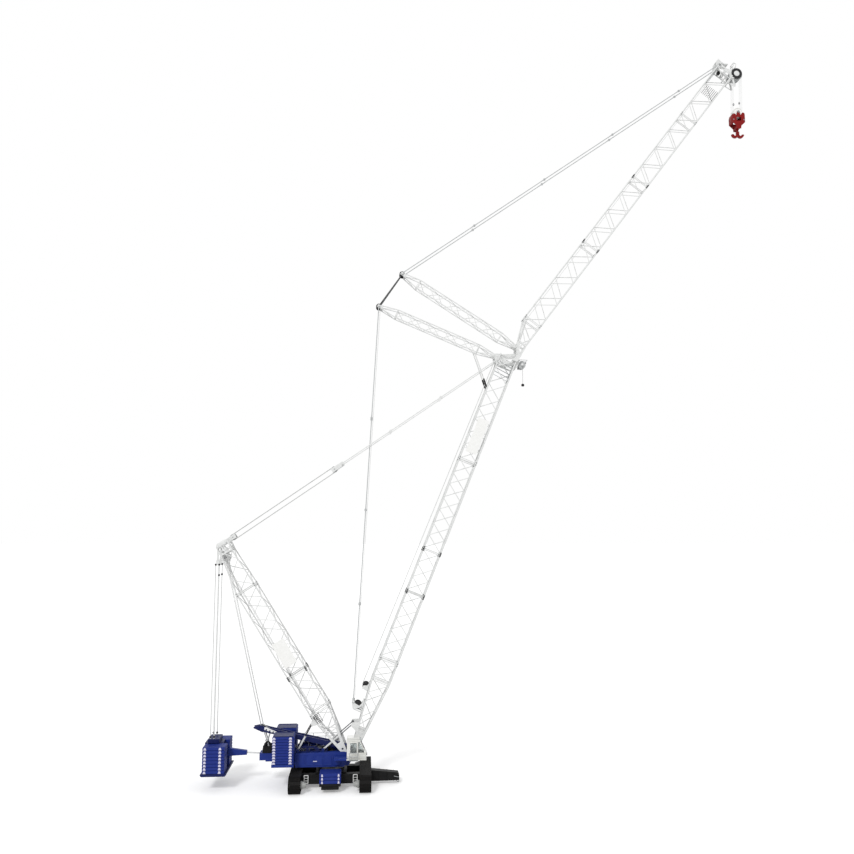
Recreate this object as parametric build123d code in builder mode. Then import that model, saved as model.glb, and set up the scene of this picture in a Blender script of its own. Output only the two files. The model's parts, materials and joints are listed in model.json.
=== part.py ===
"""Lattice-boom crawler crane with luffing jib, derrick mast and suspended ballast, 1:10 scale.

Origin: slew axis at ground level. +X points along the boom, +Z up; the tracks run along Y.
Sizes in the tables are metres of the full-size machine and are turned to millimetres by M.
"""

import os
from math import cos, radians, sin, sqrt

from build123d import *

os.makedirs("parts", exist_ok=True)

M = 100.0  # millimetres of model per metre of the full-size machine (1:10)


def at(x, z, y=0.0):
    """A point of the side view, x along the boom and z up, at the sideways place y."""
    return Vector(x * M, y * M, z * M)


class Arm:
    """The side-view frame of a boom, mast or strut: s runs along it, n square to it."""

    def __init__(self, foot, angle):
        self.foot, self.angle = foot, radians(angle)

    def xz(self, s, n=0.0):
        c, d = cos(self.angle), sin(self.angle)
        return (self.foot[0] + s * c - n * d, self.foot[1] + s * d + n * c)

    def point(self, s, n=0.0, y=0.0):
        return at(*self.xz(s, n), y)

    def side(self, y=0.0):
        """The plane of one side: local x is s, local y is n."""
        return Plane(
            origin=at(*self.foot, y),
            x_dir=(cos(self.angle), 0, sin(self.angle)),
            z_dir=(0, -1, 0),
        )


SIDE = Plane.XZ  # local x is +X, local y is +Z


# driving places of the rig in the side view (x, z)
BOOM = Arm((2.6, 3.65), 68.2)
MAST = Arm((1.79, 3.79), 122.5)
JIB = Arm(BOOM.xz(55.2, -1.15), 52.7)
STRUT_R = Arm(BOOM.xz(54.1, 1.55), 157.3)  # rear strut, held by the boom
STRUT_F = Arm(JIB.xz(0.9, 0.9), 147.4)  # front strut, held by the jib
BOOM_HALF, BOOM_Y = 1.15, 1.02
MAST_HALF, MAST_Y = 1.25, 1.45
JIB_DEEP, JIB_Y = 2.45, 1.0
CHORD, BRACE = 0.18, 0.1
BOOM_JOINTS = (12.0, 21.0, 26.8, 39.5, 54.6)
JIB_JOINTS = (5.0, 18.5, 30.5, 42.5, 52.0)
MAST_JOINTS = (6.1, 11.5, 23.8, 29.6)
MAST_HEAD = MAST.xz(30.3, 0.15)
MAST_LINK = MAST.xz(30.3, -1.0)
BOOM_STAY_END = BOOM.xz(53.6, 1.3)
STRUT_R_TIP, STRUT_F_TIP = 17.1, 18.3
A_FOOT = (1.65, 4.4)
# backstops: pivot on the platform, eye on the arm
MAST_STOP = ((-4.15, 4.3), MAST.xz(5.3, 1.6))
BOOM_STOP = ((-1.05, 4.2), BOOM.xz(3.3, 1.35))
STOP_PIN, EYE_PLAY = 0.08, 0.006
HEAD_SHEAVE = JIB.xz(52.93, -0.34)


def sticks(ends, width):
    """Flat bars between pairs of points of the sketch plane (metres)."""
    for (x0, y0), (x1, y1) in ends:
        run = Vector(x1 - x0, y1 - y0) * M
        turn = run.get_angle(Vector(1, 0)) * (1 if y1 >= y0 else -1)
        with Locations(Location(((x0 + x1) / 2 * M, (y0 + y1) / 2 * M, 0), turn)):
            Rectangle(run.length, width * M)


def zigzag(s0, s1, low0, low1, high0, high1, bays, first=0):
    """The diagonals of a truss panel between two straight chords, the first one up or down."""
    low = lambda s: low0 + (low1 - low0) * (s - s0) / (s1 - s0)
    high = lambda s: high0 + (high1 - high0) * (s - s0) / (s1 - s0)
    pitch = (s1 - s0) / bays
    bars = []
    for i in range(bays):
        a, b = s0 + i * pitch, s0 + (i + 1) * pitch
        bars.append(((a, low(a)), (b, high(b))) if i % 2 == first else ((a, high(a)), (b, low(b))))
    return bars


def lattice(arm, s0, s1, low, high, half_y, bays, posts=(True, True), chord=CHORD, brace=BRACE):
    """One section: four chords, zigzag braces on all four sides and posts at its ends.

    low and high are the (start, end) offsets n of the lower and upper chords.
    """
    inset = chord / 2
    a, b = s0 + inset, s1 - inset
    ends = [s for s, there in zip((a, b), posts) if there]
    panels = []
    for y in (-half_y, half_y):
        for n0, n1 in (low, high):
            tall = chord / 2 * sqrt(1 + ((n1 - n0) / (s1 - s0)) ** 2)
            with BuildSketch(arm.side(y)) as bar:
                with BuildLine():
                    Polyline(*[(s * M, n * M) for s, n in ((s0, n0 - tall), (s1, n1 - tall), (s1, n1 + tall), (s0, n0 + tall))], close=True)
                make_face()
            extrude(bar.sketch, amount=chord * M / 2, both=True)
        with BuildSketch(arm.side(y)) as web:
            sticks(zigzag(a, b, low[0], low[1], high[0], high[1], bays, 0 if y < 0 else 1), brace)
            sticks([((s, low[0] if s == a else low[1]), (s, high[0] if s == a else high[1])) for s in ends], brace)
        panels.append(web)
    for n0, n1 in (low, high):
        start, end = arm.point(s0, n0), arm.point(s1, n1)
        run = end - start
        across = Vector(0, 1, 0)
        length = run.length / M
        i0, i1 = inset, length - inset
        with BuildSketch(Plane(origin=start, x_dir=run, z_dir=run.cross(across))) as web:
            sticks(zigzag(i0, i1, -half_y, -half_y, half_y, half_y, bays, 0 if n0 == low[0] else 1), brace)
            sticks([((i, -half_y), (i, half_y)) for i, there in zip((i0, i1), posts) if there], brace)
        panels.append(web)
    for web in panels:
        extrude(web.sketch, amount=brace * M / 2, both=True)


def plate(points, *spans, plane=SIDE):
    """A side-view outline (metres) as a plate over each sideways span y0 to y1."""
    for y0, y1 in spans:
        with BuildSketch(Plane(origin=(0, y1 * M, 0), x_dir=(1, 0, 0), z_dir=(0, -1, 0))) as outline:
            with BuildLine():
                Polyline(*[(x * M, z * M) for x, z in points], close=True)
            make_face()
        extrude(outline.sketch, amount=(y1 - y0) * M)


def both(y0, y1):
    """The same sideways span on the two sides of the machine."""
    return ((y0, y1), (-y1, -y0))


def block(x0, x1, y0, y1, z0, z1, mode=Mode.ADD):
    with Locations((x0 * M, y0 * M, z0 * M)):
        Box((x1 - x0) * M, (y1 - y0) * M, (z1 - z0) * M, align=(Align.MIN,) * 3, mode=mode)


def cross_pin(x, z, r, y0, y1, mode=Mode.ADD):
    """A round bar along Y."""
    with Locations(Location((x * M, y0 * M, z * M), (-90, 0, 0))):
        Cylinder(r * M, (y1 - y0) * M, align=(Align.CENTER, Align.CENTER, Align.MIN), mode=mode)


def rod(a, b, r, sides=0):
    """A bar between two points, round or with a few sides."""
    with BuildSketch(Plane(origin=a, z_dir=b - a)) as end:
        if sides:
            RegularPolygon(r * M, sides)
        else:
            Circle(r * M)
    extrude(end.sketch, amount=(b - a).length)


def save(built, name):
    built.part.label = name
    export_step(built.part, f"parts/{name}.step")


# --- undercarriage ------------------------------------------------------------------------------
TRACK_X, TRACK_W, TRACK_L, TRACK_H = 4.23, 1.45, 10.3, 2.0
TRACK_IN = 0.22
SHOE_GAP, SHOE_DEEP = 0.05, 0.1
STRAIGHT = TRACK_L - TRACK_H
SHOES_FLAT, SHOES_END = 19, 7


def track(x):
    """An endless chain as one loop, its shoes shown by gaps across the outside."""
    with BuildSketch(Plane.YZ.offset((x - TRACK_W / 2) * M)) as loop:
        with Locations((0, TRACK_H / 2 * M)):
            SlotOverall(TRACK_L * M, TRACK_H * M)
            SlotOverall((TRACK_L - 2 * TRACK_IN) * M, (TRACK_H - 2 * TRACK_IN) * M, mode=Mode.SUBTRACT)
        for i in range(SHOES_FLAT + 1):
            y = -STRAIGHT / 2 + i * STRAIGHT / SHOES_FLAT
            with Locations((y * M, 0), (y * M, TRACK_H * M)):
                Rectangle(SHOE_GAP * M, 2 * SHOE_DEEP * M, mode=Mode.SUBTRACT)
        for side in (1, -1):
            for i in range(1, SHOES_END):
                turn = 180 * i / SHOES_END - 90
                with Locations(Location((side * STRAIGHT / 2 * M, TRACK_H / 2 * M, 0), turn if side > 0 else 180 + turn)):
                    with Locations((TRACK_H / 2 * M, 0)):
                        Rectangle(2 * SHOE_DEEP * M, SHOE_GAP * M, mode=Mode.SUBTRACT)
    extrude(loop.sketch, amount=TRACK_W * M)


for name, x in (("track_left", -TRACK_X), ("track_right", TRACK_X)):
    with BuildPart() as chain:
        track(x)
    save(chain, name)

with BuildPart() as track_wheels:
    for x in (-TRACK_X, TRACK_X):
        for y, r, z in ((-STRAIGHT / 2, 0.77, TRACK_H / 2), (STRAIGHT / 2, 0.77, TRACK_H / 2)):
            with Locations(Location(((x - 0.3) * M, y * M, z * M), (0, 90, 0))):
                Cylinder(r * M, 0.6 * M, align=(Align.CENTER, Align.CENTER, Align.MIN))
        for i in range(9):
            y = -3.2 + 0.8 * i
            with Locations(Location(((x - 0.3) * M, y * M, (TRACK_IN + 0.25) * M), (0, 90, 0))):
                Cylinder(0.245 * M, 0.6 * M, align=(Align.CENTER, Align.CENTER, Align.MIN))
save(track_wheels, "track_wheels")

with BuildPart() as track_frames:
    for x in (-TRACK_X, TRACK_X):
        with BuildSketch(Plane.YZ.offset((x - 0.45) * M)):
            with Locations((0, 1.05 * M)):
                SlotOverall(9.4 * M, 1.0 * M)
        extrude(amount=0.9 * M)
        for y in (-STRAIGHT / 2, STRAIGHT / 2):
            block(x - 0.31, x + 0.31, y - 1.0, y + 1.0, 0.2, 1.8, mode=Mode.SUBTRACT)
        block(x - 0.31, x + 0.31, -3.6, 3.6, 0.2, 0.8, mode=Mode.SUBTRACT)
save(track_frames, "track_frames")

with BuildPart() as carbody:
    block(-1.9, 1.9, -1.7, 1.7, 0.5, 1.75)
    for y in (-2.3, 1.4):
        block(-TRACK_X + 0.45, TRACK_X - 0.45, y, y + 0.9, 0.55, 1.65)
    with Locations((0, 0, 1.75 * M)):
        Cylinder(1.6 * M, 0.25 * M, align=(Align.CENTER, Align.CENTER, Align.MIN))
save(carbody, "carbody")

with BuildPart() as central_ballast:
    for y0, y1 in both(2.3, 4.4):
        block(-1.28, 1.28, y0, y1, 0.8, 2.3)
        block(-1.05, 1.05, y0, y1, 0.4, 0.8)
save(central_ballast, "central_ballast")

with BuildPart() as support_beam:
    plate(((TRACK_X + 0.45, 0.35), (8.45, 0.4), (8.45, 0.75), (7.9, 0.78), (7.9, 0.92), (8.45, 0.95), (8.3, 1.3), (TRACK_X + 0.45, 1.7)), (-0.9, 0.1))
save(support_beam, "support_beam")

# --- superstructure -----------------------------------------------------------------------------
DECK_Z, PLATFORM_TOP = 2.4, 4.05
PIN_R, PIN_PLAY = 0.14, 0.006
FOOT_PLAY = 0.032  # the boom foot swings a little round its pins when the mast luffs

with BuildPart() as slew_ring:
    with Locations((0, 0, 2.0 * M)):
        Cylinder(1.5 * M, 0.4 * M, align=(Align.CENTER, Align.CENTER, Align.MIN))
save(slew_ring, "slew_ring")

with BuildPart() as platform:
    block(-4.4, 1.5, -1.8, 1.8, DECK_Z, DECK_Z + 0.15)
    outer = ((-4.4, DECK_Z), (1.6, DECK_Z), (2.2, 3.5), (2.05, 4.05), (1.5, 4.15), (-4.4, PLATFORM_TOP))
    inner = ((-4.4, DECK_Z), (2.1, DECK_Z), (2.95, 3.5), (2.9, 3.9), (2.6, 4.0), (1.5, 4.15), (-4.4, PLATFORM_TOP))
    plate(outer, *both(1.65, 1.8))
    plate(inner, *both(1.2, 1.32))
    plate(((0.6, DECK_Z), (2.1, DECK_Z), (2.95, 3.5), (2.9, 3.9), (2.6, 4.0), (1.8, 3.2), (0.6, 3.2)), *both(0.72, 0.84))
    plate(((0.9, DECK_Z), (1.9, DECK_Z), (1.95, 4.4), (1.65, 4.65), (1.35, 4.4)), *both(0.17, 0.27))
    cross_pin(*A_FOOT, 0.1201, -0.3, 0.3, mode=Mode.SUBTRACT)
    block(-4.4, -4.2, -1.8, 1.8, DECK_Z, PLATFORM_TOP - 0.1)
    block(0.55, 0.75, -1.8, 1.8, DECK_Z, 3.3)
    for y0, y1 in both(0.72, 1.32):
        cross_pin(*BOOM.foot, PIN_R, y0, y1)
    for y0, y1 in both(1.2, 1.8):
        cross_pin(*MAST.foot, PIN_R, y0, y1)
    for (x, z), y in ((MAST_STOP[0], 1.27), (BOOM_STOP[0], 0.79)):
        for y0, y1 in both(y - 0.22, y - 0.14) + both(y + 0.14, y + 0.22):
            plate(((x - 0.2, z - 0.5), (x + 0.2, z - 0.5), (x + 0.15, z + 0.15), (x - 0.15, z + 0.15)), (y0, y1))
        for y0, y1 in both(y - 0.22, 1.32 if y < 1 else y + 0.22):
            block(x - 0.2, x + 0.2, y0, y1, z - 0.55, z - 0.25)
        for y0, y1 in both(y - 0.2, y + 0.2):
            cross_pin(x, z, STOP_PIN, y0, y1)
save(platform, "platform")

with BuildPart() as engine_house:
    block(-4.2, 0.9, 1.8, 3.3, 2.5, 4.4)
    block(-4.1, 0.8, 1.9, 3.2, 2.6, 4.3, mode=Mode.SUBTRACT)
    block(-4.1, 0.8, 3.2, 3.3, 3.7, 4.1, mode=Mode.SUBTRACT)
save(engine_house, "engine_house")

with BuildPart() as engine_block:
    block(-3.2, -0.8, 2.1, 3.0, 2.6, 3.7)
save(engine_block, "engine_block")

with BuildPart() as winches:
    for x, r in ((-0.13, 0.45), (-2.0, 0.48), (-3.45, 0.48)):
        cross_pin(x, 3.35, r, -0.9, 0.9)
        for y0 in (-1.02, 0.88):
            cross_pin(x, 3.35, r + 0.14, y0, y0 + 0.14)
        for y0 in (-0.98, 0.88):
            block(x - 0.3, x + 0.3, y0, y0 + 0.1, DECK_Z + 0.15, 3.35)
save(winches, "winches")

with BuildPart() as counterweight_frame:
    block(-8.1, -4.4, -0.75, 0.75, 2.9, 3.9)
    block(-8.85, -8.1, -0.75, 0.75, 3.05, 3.9)
    block(-7.1, -4.45, -3.6, 3.6, 2.9, 3.2)
    block(-8.85, -8.1, -0.2, 0.2, 3.0, 4.3, mode=Mode.SUBTRACT)
save(counterweight_frame, "counterweight_frame")

STACK_PLATES, STACK_Z, STACK_TOP = 10, 3.2, 6.4
with BuildPart() as counterweight_stacks:
    pitch = (STACK_TOP - STACK_Z) / STACK_PLATES
    for y0, y1 in both(1.0, 3.5):
        block(-7.06, -4.47, y0, y1, STACK_Z, STACK_TOP)
        for i in range(1, STACK_PLATES):
            z = STACK_Z + i * pitch
            for x in (-7.06, -4.52):
                block(x, x + 0.05, y0, y1, z - 0.03, z + 0.03, mode=Mode.SUBTRACT)
save(counterweight_stacks, "counterweight_stacks")

with BuildPart() as a_frame:
    slope = Arm(A_FOOT, 167.3)
    reach = 10.9
    for y in (-0.45, 0.45):
        with BuildSketch(slope.side(y)):
            with BuildLine():
                Polyline(*[(s * M, n * M) for s, n in ((-0.25, -0.2), (-0.25, 0.2), (2, 0.3), (reach - 1.2, 0.3), (reach, 0.25), (reach, -0.3), (reach - 1.2, -0.3), (2, -0.3))], close=True)
            make_face()
    extrude(amount=0.13 * M, both=True)
    for s in (1.6, 4.4, 7.2, 9.6):
        rod(slope.point(s, 0, -0.45), slope.point(s, 0, 0.45), 0.12, 6)
    cross_pin(*slope.xz(reach - 0.4), 0.12, -0.55, 0.55)
    cross_pin(*A_FOOT, 0.12, -0.5, 0.5)
    for y in (-0.45, 0.45):
        rod(at(-8.3, 3.94, y), slope.point(reach - 0.6, -0.1, y), 0.13, 6)
save(a_frame, "a_frame")

with BuildPart() as a_frame_sheaves:
    for i in range(5):
        y = -0.24 + 0.12 * i
        cross_pin(*slope.xz(reach - 0.4), 0.4, y - 0.04, y + 0.04)
    cross_pin(*slope.xz(reach - 0.4), 0.121, -0.7, 0.7, mode=Mode.SUBTRACT)
save(a_frame_sheaves, "a_frame_sheaves")

# --- cab ----------------------------------------------------------------------------------------
CAB = dict(x0=1.95, x1=4.4, y0=-3.25, y1=-2.05, z0=3.75, z1=5.75)
WALL = 0.07
with BuildPart() as cab_base:
    block(0.4, 4.3, -3.2, -2.1, 3.45, 3.7)
    block(0.4, 1.2, -2.1, -1.8, 2.6, 3.7)
save(cab_base, "cab_base")

cab_outline = ((1.95, 3.75), (4.1, 3.75), (4.4, 4.35), (4.15, 5.65), (4.05, 5.75), (1.95, 5.75))
# openings in the cab walls: x0, x1, y0, y1, z0, z1
NEAR_WALL, FAR_WALL = (-3.25, -3.18), (-2.12, -2.05)
DOORWAY = (2.3, 3.2, *NEAR_WALL, 3.9, 5.6)
SIDE_WINDOWS = ((3.35, 3.95, *NEAR_WALL, 4.4, 5.55), (2.3, 3.95, *FAR_WALL, 4.4, 5.55))
REAR_WINDOW = (1.95, 2.02, -3.0, -2.3, 4.75, 5.5)
with BuildPart() as cab:
    plate(cab_outline, (-3.25, -2.05))
    with BuildSketch(Plane(origin=(0, -2.12 * M, 0), x_dir=(1, 0, 0), z_dir=(0, -1, 0))):
        with BuildLine():
            Polyline(*[(x * M, z * M) for x, z in cab_outline], close=True)
        make_face()
        offset(amount=-WALL * M, mode=Mode.REPLACE)
    extrude(amount=1.06 * M, mode=Mode.SUBTRACT)
    for opening in (DOORWAY, *SIDE_WINDOWS, REAR_WINDOW):
        block(*opening, mode=Mode.SUBTRACT)
    block(3.9, 4.6, -3.1, -2.2, 4.1, 5.5, mode=Mode.SUBTRACT)
save(cab, "cab")

with BuildPart() as cab_glass:
    for x0, x1, y0, y1, z0, z1 in SIDE_WINDOWS:
        block(x0, x1, y0 + 0.02, y1 - 0.02, z0, z1)
    block(1.97, 2.0, *REAR_WINDOW[2:])
    plate(((4.255, 4.1), (4.37, 4.35), (4.149, 5.5), (4.118, 5.5), (4.338, 4.35), (4.222, 4.1)), (-3.1, -2.2))
save(cab_glass, "cab_glass")

with BuildPart() as cab_door:
    block(2.25, 3.25, -3.36, -3.3, 3.85, 5.65)
    block(2.37, 3.13, -3.36, -3.3, 4.4, 5.5, mode=Mode.SUBTRACT)
    block(2.37, 3.13, -3.345, -3.315, 4.4, 5.5)
save(cab_door, "cab_door")

with BuildPart() as cab_seat:
    block(2.5, 3.1, -2.9, -2.4, 3.82, 4.35)
    block(2.45, 2.6, -2.9, -2.4, 4.35, 5.1)
save(cab_seat, "cab_seat")

# --- derrick mast -------------------------------------------------------------------------------
with BuildPart() as mast_foot:
    for y in (-1.48, 1.48):
        with BuildSketch(MAST.side(y)):
            with BuildLine():
                Polyline(*[(s * M, n * M) for s, n in ((-0.3, -0.25), (-0.3, 0.25), (0.4, 0.35), (3.2, 0.85), (3.2, -0.85), (0.4, -0.35))], close=True)
            make_face()
            with BuildLine():
                Polyline(*[(s * M, n * M) for s, n in ((1.2, -0.3), (1.2, 0.3), (3.0, 0.62), (3.0, -0.62))], close=True)
            make_face(mode=Mode.SUBTRACT)
    extrude(amount=0.1 * M, both=True)
    lattice(MAST, 3.2, MAST_JOINTS[0], (-0.76, -MAST_HALF), (0.76, MAST_HALF), MAST_Y, 2)
    for y0, y1 in both(1.3, 1.7):
        cross_pin(*MAST.foot, PIN_R + PIN_PLAY, y0, y1, mode=Mode.SUBTRACT)
save(mast_foot, "mast_foot")

MAST_SPANS = tuple(zip(MAST_JOINTS[:-1], MAST_JOINTS[1:]))
for name, (s0, s1), bays in (("mast_insert_1", MAST_SPANS[0], 3), ("mast_insert_2", MAST_SPANS[1], 7)):
    with BuildPart() as section:
        lattice(MAST, s0, s1, (-MAST_HALF,) * 2, (MAST_HALF,) * 2, MAST_Y, bays)
    save(section, name)

with BuildPart() as mast_head:
    s0, s1 = MAST_SPANS[2]
    lattice(MAST, s0, s1, (-MAST_HALF, -1.1), (MAST_HALF, 0.3), MAST_Y, 3)
    for y in (-MAST_Y, MAST_Y, -0.8, 0.8):
        with BuildSketch(MAST.side(y)):
            with BuildLine():
                Polyline(*[(s * M, n * M) for s, n in ((s1 - 0.6, -1.2), (s1 - 0.6, 0.5), (s1 + 0.7, 0.45), (s1 + 1.0, 0.15), (s1 + 1.0, -1.0), (s1 + 0.6, -1.3))], close=True)
            make_face()
    extrude(amount=0.06 * M, both=True)
    cross_pin(*MAST_HEAD, 0.12, -1.5, 1.5)
    cross_pin(*MAST_LINK, 0.12, -1.5, 1.5)
save(mast_head, "mast_head")

# --- suspended ballast --------------------------------------------------------------------------
TRAY_X = MAST_HEAD[0]
with BuildPart() as tray_pendants:
    for y in (-1.1, 1.1):
        for x in (-0.22, 0.22):
            rod(at(TRAY_X + x, 5.8, y), at(TRAY_X + x, MAST_HEAD[1] - 2.2, y), 0.06, 4)
        top = MAST_HEAD[1]
        plate(((TRAY_X - 0.3, top - 2.4), (TRAY_X + 0.3, top - 2.4), (TRAY_X + 0.12, top - 1.6), (TRAY_X + 0.12, top - 0.2), (TRAY_X + 0.2, top), (TRAY_X, top + 0.22), (TRAY_X - 0.2, top), (TRAY_X - 0.12, top - 0.2), (TRAY_X - 0.12, top - 1.6)), (y - 0.08, y + 0.08))
    cross_pin(*MAST_HEAD, 0.12 + PIN_PLAY, -1.6, 1.6, mode=Mode.SUBTRACT)
save(tray_pendants, "tray_pendants")

with BuildPart() as tray_frame:
    plate(((TRAY_X - 1.0, 2.0), (TRAY_X - 0.85, 1.85), (TRAY_X + 1.95, 1.85), (TRAY_X + 2.1, 2.0), (TRAY_X + 2.1, 2.15), (TRAY_X - 1.0, 2.15)), (-3.1, 3.1))
    block(TRAY_X - 0.9, TRAY_X + 1.3, -0.85, 0.85, 2.15, 5.0)
    block(TRAY_X - 0.5, TRAY_X + 0.9, -1.3, 1.3, 5.3, 5.8)
    block(TRAY_X - 0.5, TRAY_X + 0.9, -0.85, 0.85, 5.0, 5.3)
    plate(((TRAY_X + 1.3, 3.4), (TRAY_X + 1.9, 3.8), (TRAY_X + 1.9, 4.2), (TRAY_X + 1.3, 4.6)), *both(0.3, 0.4))
    cross_pin(TRAY_X + 1.75, 4.0, 0.1, -0.4, 0.4)
save(tray_frame, "tray_frame")

with BuildPart() as tray_stacks:
    for y0, y1 in both(0.9, 3.05):
        block(TRAY_X - 0.8, TRAY_X + 1.86, y0, y1, 2.15, 5.25)
        for i in range(1, 8):
            z = 2.15 + i * 3.1 / 8
            for x in (TRAY_X - 0.8, TRAY_X + 1.81):
                block(x, x + 0.05, y0, y1, z - 0.03, z + 0.03, mode=Mode.SUBTRACT)
save(tray_stacks, "tray_stacks")

GUIDE_BASE = (-8.5, 3.75)


def slope_of(a, b):
    """The side-view arm that runs from a to b, and its length."""
    run = Vector(b[0] - a[0], b[1] - a[1])
    return Arm(a, run.get_angle(Vector(1, 0)) * (1 if run.Y >= 0 else -1)), run.length


GUIDE, GUIDE_L = slope_of((TRAY_X + 1.75, 4.0), GUIDE_BASE)
with BuildPart() as guide_arm:
    with BuildSketch(GUIDE.side()):
        with BuildLine():
            Polyline(*[(s * M, n * M) for s, n in ((-0.2, -0.2), (0.3, -0.45), (2.4, -0.25), (2.4, 0.25), (0.3, 0.45), (-0.2, 0.2))], close=True)
        make_face()
    extrude(amount=0.25 * M, both=True)
    with BuildSketch(Plane(origin=GUIDE.point(0.45), z_dir=GUIDE.point(1) - GUIDE.point(0))):
        Circle(0.16 * M)
    extrude(amount=2.5 * M, mode=Mode.SUBTRACT)
    cross_pin(*GUIDE.foot, 0.1 + EYE_PLAY, -0.3, 0.3, mode=Mode.SUBTRACT)
save(guide_arm, "guide_arm")

with BuildPart() as guide_rod:
    rod(GUIDE.point(1.5), GUIDE.point(GUIDE_L), 0.1)
    cross_pin(*GUIDE_BASE, 0.16, -0.13, 0.13)
save(guide_rod, "guide_rod")


def barrels(ends, y, length, r):
    """The two barrels of a pair of backstops, each with a bored eye at its pivot."""
    arm, _ = slope_of(*ends)
    for side in (-y, y):
        rod(arm.point(0, 0, side), arm.point(length, 0, side), r)
        cross_pin(*ends[0], 0.15, side - 0.11, side + 0.11)
    for side in (-y, y):
        with BuildSketch(Plane(origin=arm.point(0.3, 0, side), z_dir=arm.point(1) - arm.point(0))) as bore:
            Circle((r - 0.045) * M)
        extrude(bore.sketch, amount=length * M, mode=Mode.SUBTRACT)
        cross_pin(*ends[0], STOP_PIN + EYE_PLAY, side - 0.2, side + 0.2, mode=Mode.SUBTRACT)


def rods(ends, y, start, r):
    """The two rods of a pair of backstops, each with a boss that stands beside its lug."""
    arm, length = slope_of(*ends)
    for side in (-y, y):
        rod(arm.point(start, 0, side), arm.point(length, 0, side), r)
        cross_pin(*ends[1], 0.13, side - 0.06, side + 0.06)


with BuildPart() as mast_backstop_barrels:
    barrels(MAST_STOP, 1.27, 1.9, 0.12)
save(mast_backstop_barrels, "mast_backstop_barrels")
with BuildPart() as mast_backstop_rods:
    rods(MAST_STOP, 1.27, 0.9, 0.065)
save(mast_backstop_rods, "mast_backstop_rods")
with BuildPart() as boom_backstop_barrels:
    barrels(BOOM_STOP, 0.79, 2.5, 0.12)
save(boom_backstop_barrels, "boom_backstop_barrels")
with BuildPart() as boom_backstop_rods:
    rods(BOOM_STOP, 0.79, 1.5, 0.065)
save(boom_backstop_rods, "boom_backstop_rods")

# --- main boom ----------------------------------------------------------------------------------


def cheeks(arm, outline, places, thick):
    """Plates of one outline (s, n) in the arm's own frame, centred on each sideways place."""
    for y in places:
        with BuildSketch(arm.side(y)) as cheek:
            with BuildLine():
                Polyline(*[(s * M, n * M) for s, n in outline], close=True)
            make_face()
        extrude(cheek.sketch, amount=thick * M / 2, both=True)


with BuildPart() as boom_foot:
    cheeks(BOOM, ((-0.25, -0.22), (-0.25, 0.22), (0.5, 0.35), (2.9, 0.62), (2.9, -0.62), (0.5, -0.35)), (-1.02, 1.02), 0.2)
    cheeks(BOOM, ((2.6, 0.4), (3.1, 1.5), (3.5, 1.5), (3.9, 0.5)), (-1.02, 1.02), 0.16)
    lattice(BOOM, 2.9, 9.3, (-0.53, -BOOM_HALF), (0.53, BOOM_HALF), BOOM_Y, 4)
    lattice(BOOM, 9.3, BOOM_JOINTS[0], (-BOOM_HALF,) * 2, (BOOM_HALF,) * 2, BOOM_Y, 2)
    for y0, y1 in both(0.9, 1.15):
        cross_pin(*BOOM.foot, PIN_R + FOOT_PLAY, y0, y1, mode=Mode.SUBTRACT)
save(boom_foot, "boom_foot")

BOOM_SPANS = tuple(zip(BOOM_JOINTS[:-1], BOOM_JOINTS[1:]))
for name, (s0, s1), bays in (
    ("boom_insert_1", BOOM_SPANS[0], 5),
    ("boom_insert_2", BOOM_SPANS[1], 3),
    ("boom_insert_3", BOOM_SPANS[2], 7),
):
    with BuildPart() as section:
        lattice(BOOM, s0, s1, (-BOOM_HALF,) * 2, (BOOM_HALF,) * 2, BOOM_Y, bays)
    save(section, name)

with BuildPart() as boom_head:
    lattice(BOOM, BOOM_SPANS[3][0], BOOM_SPANS[3][1], (-BOOM_HALF,) * 2, (BOOM_HALF,) * 2, BOOM_Y, 8)
    cheeks(BOOM, ((53.2, -1.3), (53.2, 1.3), (53.8, 1.75), (54.4, 1.75), (54.6, 0.9), (55.5, -1.0), (55.4, -1.5), (54.9, -1.5), (54.5, -2.6), (54.1, -2.6)), (-0.78, 0.78), 0.1)
    cheeks(BOOM, ((54.3, -1.3), (54.3, -0.6), (55.5, -1.0), (55.4, -1.5)), (-1.2, 1.2), 0.1)
    cheeks(BOOM, ((54.3, -1.25), (54.3, -0.6), (54.7, -0.7), (54.7, -1.25)), (-1.0, 1.0), 0.4)
    cross_pin(*BOOM.xz(54.35, -2.1), 0.12, -0.83, 0.83)
    cross_pin(*STRUT_R.foot, 0.12, -0.83, 0.83)
    cross_pin(*BOOM.xz(53.5, 0.0), 0.15, -0.83, 0.83)
    for y0, y1 in both(0.73, 1.25):
        cross_pin(*JIB.foot, PIN_R, y0, y1)
save(boom_head, "boom_head")

with BuildPart() as boom_head_sheaves:
    for y in (-0.45, -0.15, 0.15, 0.45):
        cross_pin(*BOOM.xz(54.35, -2.1), 0.5, y - 0.08, y + 0.08)
    cross_pin(*BOOM.xz(54.35, -2.1), 0.1201, -0.83, 0.83, mode=Mode.SUBTRACT)
save(boom_head_sheaves, "boom_head_sheaves")

STAY_FOOT = BOOM.xz(5.86, 2.3)
with BuildPart() as boom_winches:
    cheeks(BOOM, ((4.9, 0.85), (5.0, 2.0), (5.7, 2.45), (6.1, 2.35), (6.5, 1.0)), (-0.65, 0.65), 0.1)
    cheeks(BOOM, ((7.6, 1.12), (7.7, 1.9), (8.6, 1.9), (8.8, 1.22)), (-0.65, 0.65), 0.1)
    for s, n in ((5.5, 1.6), (8.15, 1.62)):
        cross_pin(*BOOM.xz(s, n), 0.4, -0.65, 0.65)
    cross_pin(*STAY_FOOT, 0.1, -0.86, 0.86)
    for s, n in ((5.1, 0.93), (6.3, 1.05)):
        rod(BOOM.point(s, n, -1.05), BOOM.point(s, n, 1.05), 0.08, 4)
save(boom_winches, "boom_winches")


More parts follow.
